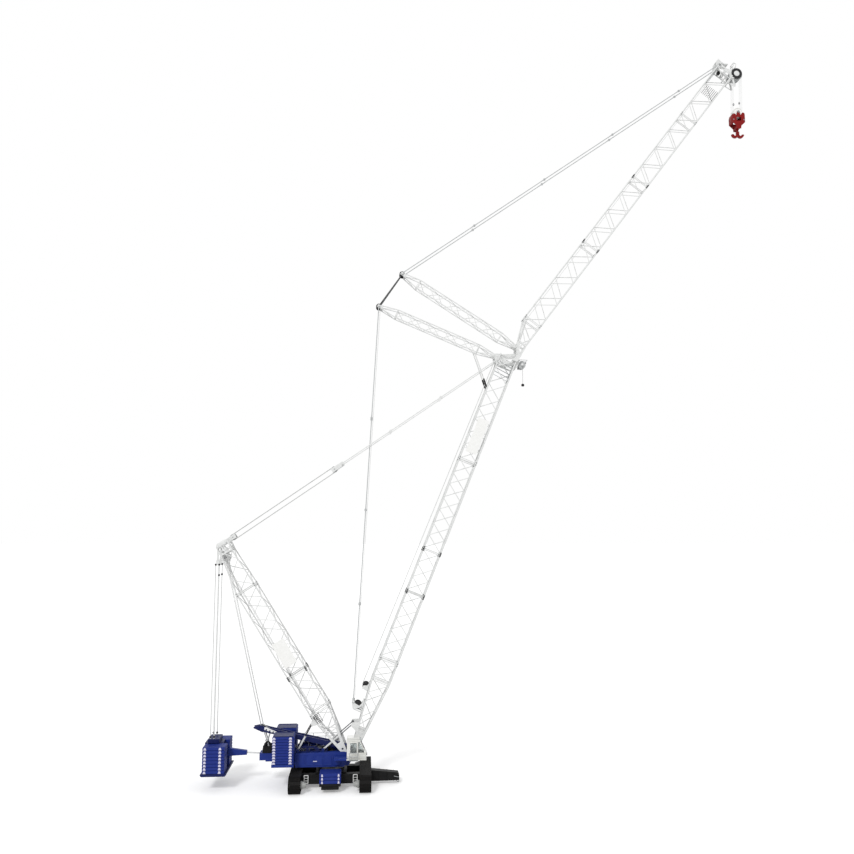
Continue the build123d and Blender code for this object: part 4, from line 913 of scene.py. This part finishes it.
a_outline = ((-0.25, -0.2), (-0.25, 0.2), (2, 0.3), (A_REACH - 1.2, 0.3), (A_REACH, 0.25), (A_REACH, -0.3),
    (A_REACH - 1.2, -0.3), (2, -0.3))
build("a_frame", DARK_BLUE,
    cheeks(A_FRAME, a_outline, (-0.45, 0.45), 0.26),
    rungs(A_FRAME, [(s, 0) for s in (1.6, 4.4, 7.2, 9.6)], 0.45, 0.12),
    cheeks(A_FRAME, ((A_REACH - 0.9, -0.3), (A_REACH - 0.2, -0.42), (A_REACH + 0.75, -0.02), (A_REACH + 0.7, 0.12),
        (A_REACH - 0.2, 0.3)), (-0.45, 0.45), 0.12),
    pins((A_TIP, 0.12, -0.6, 0.6), (A_FRAME.foot, 0.12, -0.55, 0.55)))
fit("a_frame_links", "superstructure", PANEL,
    cheeks(A_FRAME, ((8.35, -0.02), (8.4, 0.2), (10.25, -0.02), (10.3, -0.3), (10.1, -0.35)), (-0.64, 0.64), 0.06,
        holes=[disc(s, 0.09 - 0.11 * (s - 8.65), 0.1) for s in (8.65, 9.1, 9.55, 10.0)]))
fit("a_frame_lift_links", "superstructure", PENDANT,
    tubes([(A_FRAME.at(a, 0.15, y), (b, y, c)) for y in (-0.5, 0.5)
        for a, b, c in ((10.3, -7.6, 4.3), (9.5, -8.3, 4.0))], 0.07, STICK),
    rungs(SIDE, ((-8.2, 5.3), (-7.85, 4.75)), 0.5, 0.05))
fit("rear_machinery", "superstructure", BLACK,
    [block((-8.45, -7.4), y, (3.94, 4.75), edge=0.08, rim=0.08, sunk=0.05, faces=((0, -1, 0), (0, 0, 1)))
        for y in both(0.35, 0.85)],
    [tubes([((-8.2, y, 4.7), (-7.95, y, 5.3))], 0.13) for y in (-0.6, 0.6)])
build("a_frame_sheaves", SHEAVE, wheels(A_TIP, (-0.24, -0.12, 0.0, 0.12, 0.24), 0.4, 0.1, 0.121))


def rail(points, height=1.0):
    """A handrail: a top tube and a knee tube over posts at each point."""
    up = Vector((0, 0, height))
    knots = [Vector(p) for p in points]
    runs = [(a + up * k, b + up * k) for a, b in zip(knots[:-1], knots[1:]) for k in (0.55, 1.0)]
    return tubes(runs + [(p, p + up) for p in knots], 0.03)


fit("near_platform_rails", "superstructure", DARK_BLUE,
    rail([(-4.3, -1.74, 4.03), (-3.0, -1.74, 4.03), (-1.7, -1.74, 4.05), (-0.5, -1.74, 4.08)], 0.5))
fit("winch_guards", "superstructure", DARK_BLUE,
    [plate(((-4.35, 3.95), (-4.2, 4.55), (-3.9, 4.72), (-2.2, 4.72), (-1.6, 4.5), (-1.35, 3.95)), y, edge=0.02,
        holes=[((-4.0, 4.15), (-3.9, 4.5), (-3.1, 4.5), (-3.1, 4.15)),
            ((-2.8, 4.15), (-2.8, 4.5), (-2.2, 4.5), (-1.9, 4.15))]) for y in both(0.98, 1.04)],
    rungs(SIDE, [(x, 4.6) for x in (-3.9, -2.9, -1.9)], 1.04, 0.06))
fit("platform_rails", "superstructure", GALVANISED,
    rail([(-4.1, 3.2, 4.4), (-2.5, 3.2, 4.4), (-0.9, 3.2, 4.4), (0.8, 3.2, 4.4), (0.8, 1.9, 4.4)], 0.9))
fit("deck_grating", "superstructure", BLACK,
    [block((-4.35 + 0.12 * i, -4.31 + 0.12 * i), (-1.62, -1.36), (3.96, 4.0), edge=0) for i in range(48)],
    [block((-4.35, 1.35), (y, y + 0.03), (3.93, 3.96), edge=0) for y in (-1.6, -1.4)])
fit("platform_hatches", "superstructure", BLUE,
    [block((x, x + 0.95), (-1.84, -1.8), (2.62, 3.85), edge=0.012, rim=0.08, sunk=0.025)
        for x in (-4.2, -3.1, -2.0, -0.9, 0.2)])
fit("platform_step", "superstructure", MARK, block((-2.2, -1.72), (-1.9, -1.84), (3.04, 3.15), edge=0.02))
fit("deck_pipes", "superstructure", RAM,
    [bent([(-4.0 + 0.2 * i, -0.6 + 0.5 * i, 4.3), (-1.2, -0.6 + 0.5 * i, 4.35), (-0.6, -0.6 + 0.5 * i, 3.8)], 0.05)
        for i in range(3)],
    bent([(-3.9, -1.15, 4.2), (-3.9, 1.15, 4.2)], 0.05), bent([(-2.7, -1.15, 4.3), (-2.7, 1.15, 4.3)], 0.05))
fit("deck_valves", "superstructure", BLACK,
    [block((x, x + 0.7), (y, y + 0.5), (z, z + h), edge=0.05, rim=0.06, sunk=0.03, faces=((0, 0, 1), (0, -1, 0)))
        for x, y, z, h in
        ((-1.3, -0.7, 4.0, 0.4), (-2.9, 0.3, 4.0, 0.35), (-0.9, 0.3, 4.0, 0.5))])
fit("engine_louvres", "superstructure", DARK_BLUE,
    [block((x, x + 1.2), (3.3, 3.34), (2.9 + 0.12 * i, 2.96 + 0.12 * i), edge=0.008) for x in (-4.0, -2.3, -0.6)
        for i in range(6)],
    [block((x, x + 1.35), (1.95, 3.15), (4.4, 4.46), edge=0.02, rim=0.1, sunk=0.02, faces=((0, 0, 1),))
        for x in (-4.05, -2.4, -0.75)])
EXHAUST = ((0.0, 0.0), (0.16, 0.0), (0.16, 0.5), (0.2, 0.55), (0.2, 0.8), (0.14, 0.86), (0.14, 1.0), (0.1, 1.0),
    (0.1, 0.9), (0.0, 0.9))
fit("exhaust_stack", "superstructure", SHEAVE, upright(EXHAUST, -3.4, 2.5, 4.4))
fit("rear_hoses", "superstructure", HOSE,
    [hose([(-8.5, y, 3.9), (-8.5, y, 4.6), (-8.1, y * 0.8, 5.1), (-7.6, y * 0.6, 4.9), (-7.4, y * 0.5, 4.2),
        (-7.3, y * 0.5, 3.9)], 0.05) for y in (-0.5, -0.3, 0.3, 0.5)])

# --- cab ----------------------------------------------------------------------------------------
# a hollow shell whose windscreen leans back, cut for its doorway and windows
CAB_SIDE = ((1.95, 3.75), (4.3, 3.75), (4.35, 4.3), (4.15, 4.55), (3.55, 5.75), (1.95, 5.75))
CAB_ROOM = ((2.02, 3.82), (4.23, 3.82), (4.28, 4.28), (4.08, 4.52), (3.5, 5.68), (2.02, 5.68))
CAB_Y = (-3.25, -2.05)
DOORWAY = ((2.3, 3.9), (3.2, 3.9), (3.2, 5.6), (2.3, 5.6))
NEAR_PANE = ((3.35, 4.4), (4.0, 4.4), (4.0, 4.6), (3.52, 5.55), (3.35, 5.55))
FAR_PANE = ((2.3, 4.4), (4.0, 4.4), (4.0, 4.6), (3.52, 5.55), (2.3, 5.55))
SCREEN, SCREEN_L = span((4.15, 4.55), (3.55, 5.75))
SEAL_N = (-0.012, 0.038)
DOOR_PANE = ((2.38, 4.35), (3.12, 4.35), (3.12, 5.5), (2.38, 5.5))
shell = cut(plate(CAB_SIDE, CAB_Y, edge=0), plate(CAB_ROOM, (CAB_Y[0] + 0.07, CAB_Y[1] - 0.07), edge=0),
    plate(DOORWAY, (-3.4, -3.1), edge=0), plate(NEAR_PANE, (-3.4, -3.1), edge=0),
    plate(FAR_PANE, (-2.2, -1.9), edge=0),
    block((1.8, 2.15), (-3.0, -2.3), (4.75, 5.5), edge=0),
    plate(((0.08, -0.2), (SCREEN_L - 0.1, -0.2), (SCREEN_L - 0.1, 0.15), (0.08, 0.15)), (-3.12, -2.18), SCREEN,
        edge=0))
build("cab", CAB_WHITE, ease(shell, 0.015),
    block((1.9, 3.62), (-3.28, -2.02), (5.75, 5.83), edge=0.03),
    [block(x, (-3.29, -3.24), z, edge=0.012) for x, z in (((1.95, 4.3), (3.98, 4.04)), ((3.25, 3.31), (3.85, 5.7)),
        ((1.98, 3.55), (5.7, 5.76)))])
build("cab_glass", GLASS,
    plate(grown(NEAR_PANE, 1.01), (-3.23, -3.21)), plate(grown(FAR_PANE, 1.01), (-2.09, -2.07)),
    block((1.98, 2.0), (-3.02, -2.28), (4.73, 5.52), edge=0.004),
    plate(((0.06, 0.02), (SCREEN_L - 0.08, 0.02), (SCREEN_L - 0.08, 0.045), (0.06, 0.045)), (-3.14, -2.16), SCREEN,
        edge=0.004))
fit("cab_window_seals", "tilting_cab", HOSE,
    [plate(grown(pane, 1.07), y, edge=0.006, holes=[pane])
        for pane, y in ((NEAR_PANE, (-3.262, -3.24)), (FAR_PANE, (-2.06, -2.038)))],
    [plate(((0.0, SEAL_N[0]), (SCREEN_L - 0.02, SEAL_N[0]), (SCREEN_L - 0.02, SEAL_N[1]), (0.0, SEAL_N[1])), y,
        SCREEN, edge=0.01) for y in ((-3.19, -3.12), (-2.18, -2.11))])
build("cab_door", CAB_WHITE,
    plate(((2.25, 3.85), (3.25, 3.85), (3.25, 5.65), (2.25, 5.65)), (-3.36, -3.3), edge=0.015, holes=[DOOR_PANE]),
    bent([(2.45, -3.37, 4.18), (2.45, -3.4, 4.2), (3.0, -3.4, 4.2), (3.0, -3.37, 4.18)], 0.018))
fit("cab_door_glass", "sliding_door", GLASS, plate(grown(DOOR_PANE, 1.02), (-3.335, -3.32), edge=0.004))
fit("cab_door_seal", "sliding_door", HOSE, plate(grown(DOOR_PANE, 1.06), (-3.37, -3.35), edge=0.006,
    holes=[DOOR_PANE]))
fit("cab_rails", "tilting_cab", CAB_WHITE,
    bent([(3.29, -3.4, 4.15), (3.29, -3.4, 5.4)], 0.022),
    tubes([((3.29, -3.4, z), (3.29, -3.25, z)) for z in (4.15, 5.35)], 0.022),
    rail([(2.0, -3.2, 5.83), (3.45, -3.2, 5.83), (3.45, -2.1, 5.83), (2.0, -2.1, 5.83)], 0.3))
fit("cab_fittings", "tilting_cab", BLACK,
    bent([SCREEN.at(SCREEN_L, -0.05, -2.8), SCREEN.at(0.75, -0.07, -2.65), SCREEN.at(0.25, -0.05, -2.55)], 0.015),
    [block((4.28, 4.42), (y, y + 0.25), (4.0, 4.15), edge=0.03) for y in (-3.1, -2.45)],
    [block((3.3, 3.75), (y, y + 0.2), (4.1, 4.55), edge=0.05) for y in (-3.1, -2.4)],
    block((3.85, 4.1), (-2.95, -2.35), (4.1, 4.65), edge=0.06),
    [upright(((0, 0), (0.02, 0), (0.02, 0.16), (0.045, 0.18), (0.045, 0.24), (0, 0.26)), 3.5, y, 4.55, steps=10)
        for y in (-3.0, -2.3)])
fit("cab_lamps", "tilting_cab", LENS, [turned([(0, 0), (0.09, 0), (0.1, 0.03), (0.08, 0.1), (0, 0.12)], 3.55, 5.92, y,
    steps=14) for y in (-3.15, -2.85, -2.4)])


def cushion(x, y, z):
    """A stuffed seat pad: a block swelled towards a round, with a sewn channel across its middle."""
    pad = block(x, y, z, edge=0)
    middle = [(a + b) / 2 for a, b in (x, y, z)]
    open_up(pad)
    bpy.ops.mesh.select_all(action="SELECT")
    bpy.ops.mesh.subdivide(number_cuts=9)
    bpy.ops.object.mode_set(mode="OBJECT")
    for vertex in pad.data.vertices:
        vertex.co -= Vector(middle)
    for kind, amount in (("SPHERE", 0.16), ("CUBOID", 0.35)):
        swell = pad.modifiers.new("swell", "CAST")
        swell.cast_type, swell.factor = kind, amount
        bpy.ops.object.modifier_apply(modifier=swell.name)
    smooth = pad.modifiers.new("smooth", "SMOOTH")
    smooth.factor, smooth.iterations = 0.5, 3
    bpy.ops.object.modifier_apply(modifier=smooth.name)
    for vertex in pad.data.vertices:
        if abs(vertex.co.y) < 0.01:
            vertex.co *= 0.94
        vertex.co += Vector(middle)
    return pad


seat_pads = fit("cab_seat_pads", "tilting_cab", VINYL, cushion((2.5, 3.08), (-2.9, -2.4), (4.18, 4.35)),
    cushion((2.45, 2.6), (-2.88, -2.42), (4.36, 5.0)), cushion((2.47, 2.57), (-2.76, -2.54), (5.0, 5.1)), smooth=60)
build("cab_seat", BLACK,
    upright(((0, 0), (0.24, 0), (0.24, 0.04), (0.14, 0.1), (0.14, 0.3), (0.22, 0.36), (0, 0.36)), 2.78, -2.65, 3.82),
    [block((2.6, 3.0), (y, y + 0.06), (4.5, 4.56), edge=0.02) for y in (-2.96, -2.4)])
fit("cab_lower_panels", "tilting_cab", CREAM,
    plate(((1.97, 3.8), (4.28, 3.8), (4.33, 4.3), (4.24, 4.38), (3.32, 4.38), (3.32, 3.97), (1.97, 3.97)),
        (-3.265, -3.245), edge=0.008))
fit("cab_door_panel", "sliding_door", CREAM, plate(((2.28, 3.88), (3.22, 3.88), (3.22, 4.28), (2.75, 4.28)),
    (-3.375, -3.355), edge=0.008))
fit("cab_skirt", "superstructure", CREAM, plate(((1.9, 3.46), (4.34, 3.46), (4.34, 3.62), (4.2, 3.72), (2.1, 3.72),
    (1.9, 3.62)), (-3.24, -2.06), edge=0.02))
build("cab_base", BLUE,
    block((0.4, 4.28), (-3.2, -2.1), (3.47, 3.68), edge=0.03, rim=0.04, sunk=0.02),
    plate(((0.4, 3.68), (1.2, 3.68), (1.1, 2.62), (0.5, 2.62)), (-2.1, -1.8), edge=0.03))
fit("cab_steps", "superstructure", GALVANISED, [block((2.3, 3.3), (-3.75, -3.25), (3.5, 3.54), edge=0.01)],
    rail([(2.3, -3.72, 3.54), (3.3, -3.72, 3.54)], 0.9))

# --- boom and jib fittings ----------------------------------------------------------------------
winch_set = [drum(*BOOM.xz(s, n), 0.3, -0.58, 0.58, r) for s, n, r in ((5.6, 1.6, 0.47), (8.15, 1.55, 0.42))]
fit("boom_winch_drums", "main_boom", SHEAVE, winch_set)
build("boom_winches", WHITE,
    cheeks(BOOM, ((4.9, 0.85), (4.95, 2.0), (5.65, 2.45), (6.05, 2.4), (5.7, 1.95), (5.62, 1.4), (6.4, 1.0)),
        (-0.65, 0.65), 0.1, holes=[((5.05, 1.0), (5.1, 1.75), (5.35, 1.3), (5.8, 1.05))]),
    cheeks(BOOM, ((7.6, 1.12), (7.7, 1.9), (8.1, 1.85), (8.25, 1.4), (8.8, 1.22)), (-0.65, 0.65), 0.1),
    pins((STAY_FOOT, 0.1, -0.9, 0.9)),
    rungs(BOOM, ((5.1, 0.93), (6.3, 1.05)), 1.05, 0.08))
for name, body, arm, s, n in (("boom_sign_panel", "main_boom", BOOM, (40.6, 45.4), (-0.75, 0.75)),
    ("mast_sign_panel", "derrick_mast", MAST, (12.8, 16.2), (-0.85, 0.85))):
    y = -(BOOM_Y if arm is BOOM else MAST_Y) - 0.1
    fit(name, body, PANEL, plate(((s[0], n[0]), (s[0], n[1]), (s[1], n[1]), (s[1], n[0])), (y - 0.03, y), arm,
        edge=0.01))
    fit(name + "_frame", body, WHITE, tubes([(arm.at(a, n[0] - 0.3, y + 0.03), arm.at(a, n[1] + 0.3, y + 0.03))
        for a in (s[0] + 0.4, s[1] - 0.4)], 0.04, STICK))
fit("boom_head_deck", "main_boom", GALVANISED,
    tubes([(BOOM.at(s, -1.1, y), BOOM.at(s + 0.25, 1.1, y)) for y in (-0.9, 0.9) for s in (51.8, 52.3, 52.8, 53.3)],
        0.03, STICK),
    rungs(BOOM, [(s, -1.1) for s in (51.6, 52.2, 52.8, 53.4, 54.0)], 0.95, 0.05))
NOSE = ((54.6, -0.75), (55.28, -2.55), (54.02, -2.42), (53.76, -1.86))
fit("boom_nose_bracket", "main_boom", GALVANISED,
    [bent([BOOM.at(s, n, y) for s, n in NOSE[:2]], 0.025) for y in (-0.4, 0.4)],
    rungs(BOOM, (NOSE[1], (54.95, -1.65)), 0.4, 0.025),
    tubes([(BOOM.at(*NOSE[1], 0), BOOM.at(*NOSE[2], 0))], 0.02))
fit("boom_nose_fittings", "main_boom", GREY_STEEL,
    [block(*((a - 0.1, a + 0.1) for a in BOOM.at(s, n, 0)), edge=0.03)
        for s, n in ((54.35, -2.1), (54.9, -2.5), NOSE[3])])
LIMIT_X, LIMIT_Z = BOOM.xz(54.02, -2.42)
fit("boom_limit_weight", "main_boom", SHEAVE,
    upright(((0.0, 0.0), (0.16, 0.0), (0.2, 0.05), (0.2, 0.26), (0.1, 0.34), (0.03, 0.36), (0.0, 0.36)), LIMIT_X, 0,
        LIMIT_Z - 2.4),
    tubes([((LIMIT_X, 0, LIMIT_Z - 2.05), (LIMIT_X, 0, LIMIT_Z))], 0.015, LINE_BAR))
fit("jib_head_guard", "luffing_jib", WHITE,
    [bent([JIB.at(s, n, y) for s, n in ((53.1, 0.55), (53.75, 0.75), (54.1, 0.95), (54.2, 0.6), (53.8, 0.35))], 0.05)
        for y in (-0.5, 0.5)],
    rungs(JIB, ((53.75, 0.75), (54.1, 0.95), (53.8, 0.35)), 0.55, 0.045))

# --- running ropes ------------------------------------------------------------------------------
def ropes(ends, radius=0.022):
    return tubes(ends, radius, LINE_BAR)


derrick_reeving = fit("derrick_reeving", None, ROPE,
    ropes([((A_TIP[0] + s, y, A_TIP[1]), (MAST_WHEELS[0] + s, 2 * y, MAST_WHEELS[1]))
        for y in (-0.27, -0.09, 0.09, 0.27) for s in (-0.15, 0.15)], 0.016))
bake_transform(derrick_reeving)
boom_reeving = fit("boom_hoist_reeving", None, ROPE,
    ropes([(LINE.at(LINK_S, n, y), LINE.at(BLOCK_WHEEL_S, n, y)) for y in LINE_ROW for n in (-0.34, 0.34)]))
LINE.at(1.2) * SIZE
LINE.at(BLOCK_S - 1.2) * SIZE
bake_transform(boom_reeving)
strut_reeving = fit("jib_hoist_reeving", None, GREASED,
    ropes([(STRUT_R.at(STRUT_R_TIP, n, y), STRUT_F.at(STRUT_F_TIP, n, y)) for y in STRUT_ROW for n in (-0.3, 0.3)],
        0.03))
STRUT_R.at(STRUT_R_TIP) * SIZE
STRUT_F.at(STRUT_F_TIP) * SIZE
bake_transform(strut_reeving)
falls = fit("hoist_falls", None, ROPE,
    ropes([((HOOK_X + top, y, HEAD_SHEAVE[1]), (HOOK_X + foot, y, HOOK_AXLE_Z)) for y in FALL_ROW
        for top, foot in ((-0.38, -0.62), (0.84, 0.62))], 0.012))
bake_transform(falls)
fit("boom_hoist_ropes", "main_boom", ROPE,
    ropes([(BOOM.at(8.15, 2.0, y), BOOM.at(54.0, 1.5, y)) for y in (-0.3, 0.3)]),
    ropes([(BOOM.at(5.5, 2.0, y), STRUT_R.at(STRUT_R_TIP - 0.1, -0.35, y)) for y in (-0.1, 0.1)]))
fit("jib_hoist_ropes", "luffing_jib", ROPE,
    [ropes([(JIB.at(*a, y), JIB.at(*b, y)) for y in (-0.3, 0.3)])
        for a, b in (((1.7, 0.9), (5.2, 2.1)), ((5.2, 2.1), (52.6, 2.2)))])
fit("mast_ropes", "derrick_mast", ROPE,
    ropes([(MAST.at(3.4, 0.9, y), MAST.at(28.6, 0.6, y)) for y in (-0.5, 0.0, 0.5)]))
fit("a_frame_ropes", "superstructure", ROPE,
    ropes([((-3.45, y, 3.85), (A_TIP[0] + 0.2, y * 0.5, A_TIP[1] + 0.38)) for y in (-0.3, 0.3)]))

# --- carried-over nodes -------------------------------------------------------------------------
KEPT = {
    BLACK: ("carbody", "track_frames", "support_beam"),
    TRACK_STEEL: ("track_wheels",),
    GREY_STEEL: ("slew_ring", "engine_block"),
    RED: ("hook",),
    BLUE: ("platform", "engine_house", "counterweight_frame", "guide_arm"),
    WHITE: ("tray_pendants", "mast_backstop_barrels", "boom_backstop_barrels", "guide_rod"),
    SHEAVE: ("mast_backstop_rods",),
    RAM: ("boom_backstop_rods",),
    PENDANT: ("hoist_swivel",),
}
for material, names in KEPT.items():
    for name in names:
        node = frame["nodes"][name]
        node.data.materials.clear()
        node.data.materials.append(material)
for piece in masters:
    bpy.data.objects.remove(piece)

# --- light, floor and camera --------------------------------------------------------------------
SUN_TURN, SUN_STRENGTH, SUN_WIDTH = (52, 8, -28), 1.5, 12
SKY_LIGHT, SKY_SEEN = 0.62, 1.0  # the sky that lights the machine is dimmer than the one behind it
FLOOR_SIZE, FLOOR_GLOW = 400, 0.28
CAMERA_AT, CAMERA_UP, CAMERA_ROUND, CAMERA_LENS = (0.389, -10.864, 3.111), 7.197, 4.257, 34.9

scene = bpy.context.scene
scene.view_settings.view_transform = "Standard"
world = bpy.data.worlds.new("studio")
scene.world = world
world.use_nodes = True
sky = world.node_tree
sky.nodes.clear()
rays = add(sky, "ShaderNodeLightPath").outputs
seen = add(sky, "ShaderNodeMath", {0: rays["Is Camera Ray"], 1: rays["Is Glossy Ray"]}, operation="MAXIMUM")
seen = add(sky, "ShaderNodeMath", {0: seen.outputs[0], 1: rays["Is Transmission Ray"]}, operation="MAXIMUM")
soft = add(sky, "ShaderNodeBackground", {"Color": linear("ffffff"), "Strength": SKY_LIGHT})
plain = add(sky, "ShaderNodeBackground", {"Color": linear("ffffff"), "Strength": SKY_SEEN})
both_skies = add(sky, "ShaderNodeMixShader", {0: seen.outputs[0], 1: soft.outputs[0], 2: plain.outputs[0]})
add(sky, "ShaderNodeOutputWorld", {"Surface": both_skies.outputs[0]})

clear()
bpy.ops.object.light_add(type="SUN", rotation=[radians(turn) for turn in SUN_TURN])
bpy.context.object.data.energy = SUN_STRENGTH
bpy.context.object.data.angle = radians(SUN_WIDTH)

bpy.ops.mesh.primitive_plane_add(size=FLOOR_SIZE)
floor = bpy.context.object
floor.name = "floor"
paper = bpy.data.materials.new("matt_white_floor")
paper.use_nodes = True
tree = paper.node_tree
tree.nodes.clear()
place = add(tree, "ShaderNodeTexCoord").outputs["Object"]
mottle = add(tree, "ShaderNodeTexNoise", {"Vector": place, "Scale": per_metre(400), "Detail": 3.0})
tone = add(tree, "ShaderNodeMix", {"Factor": mottle.outputs["Fac"]}, data_type="RGBA")
tone.inputs[6].default_value, tone.inputs[7].default_value = linear("f4f4f4"), linear("f7f7f7")
matt = add(tree, "ShaderNodeBsdfDiffuse", {"Color": tone.outputs[2]})
glow = add(tree, "ShaderNodeEmission", {"Color": linear("ffffff"), "Strength": FLOOR_GLOW})
lifted = add(tree, "ShaderNodeAddShader", {0: matt.outputs[0], 1: glow.outputs[0]})
shown = add(tree, "ShaderNodeMixShader", {0: add(tree, "ShaderNodeLightPath").outputs["Is Camera Ray"],
    1: matt.outputs[0], 2: lifted.outputs[0]})
add(tree, "ShaderNodeOutputMaterial", {"Surface": shown.outputs[0]})
floor.data.materials.append(paper)

bpy.ops.object.camera_add(location=CAMERA_AT, rotation=(radians(90 + CAMERA_UP), 0, radians(-CAMERA_ROUND)))
scene.camera = bpy.context.object
scene.camera.data.lens = CAMERA_LENS
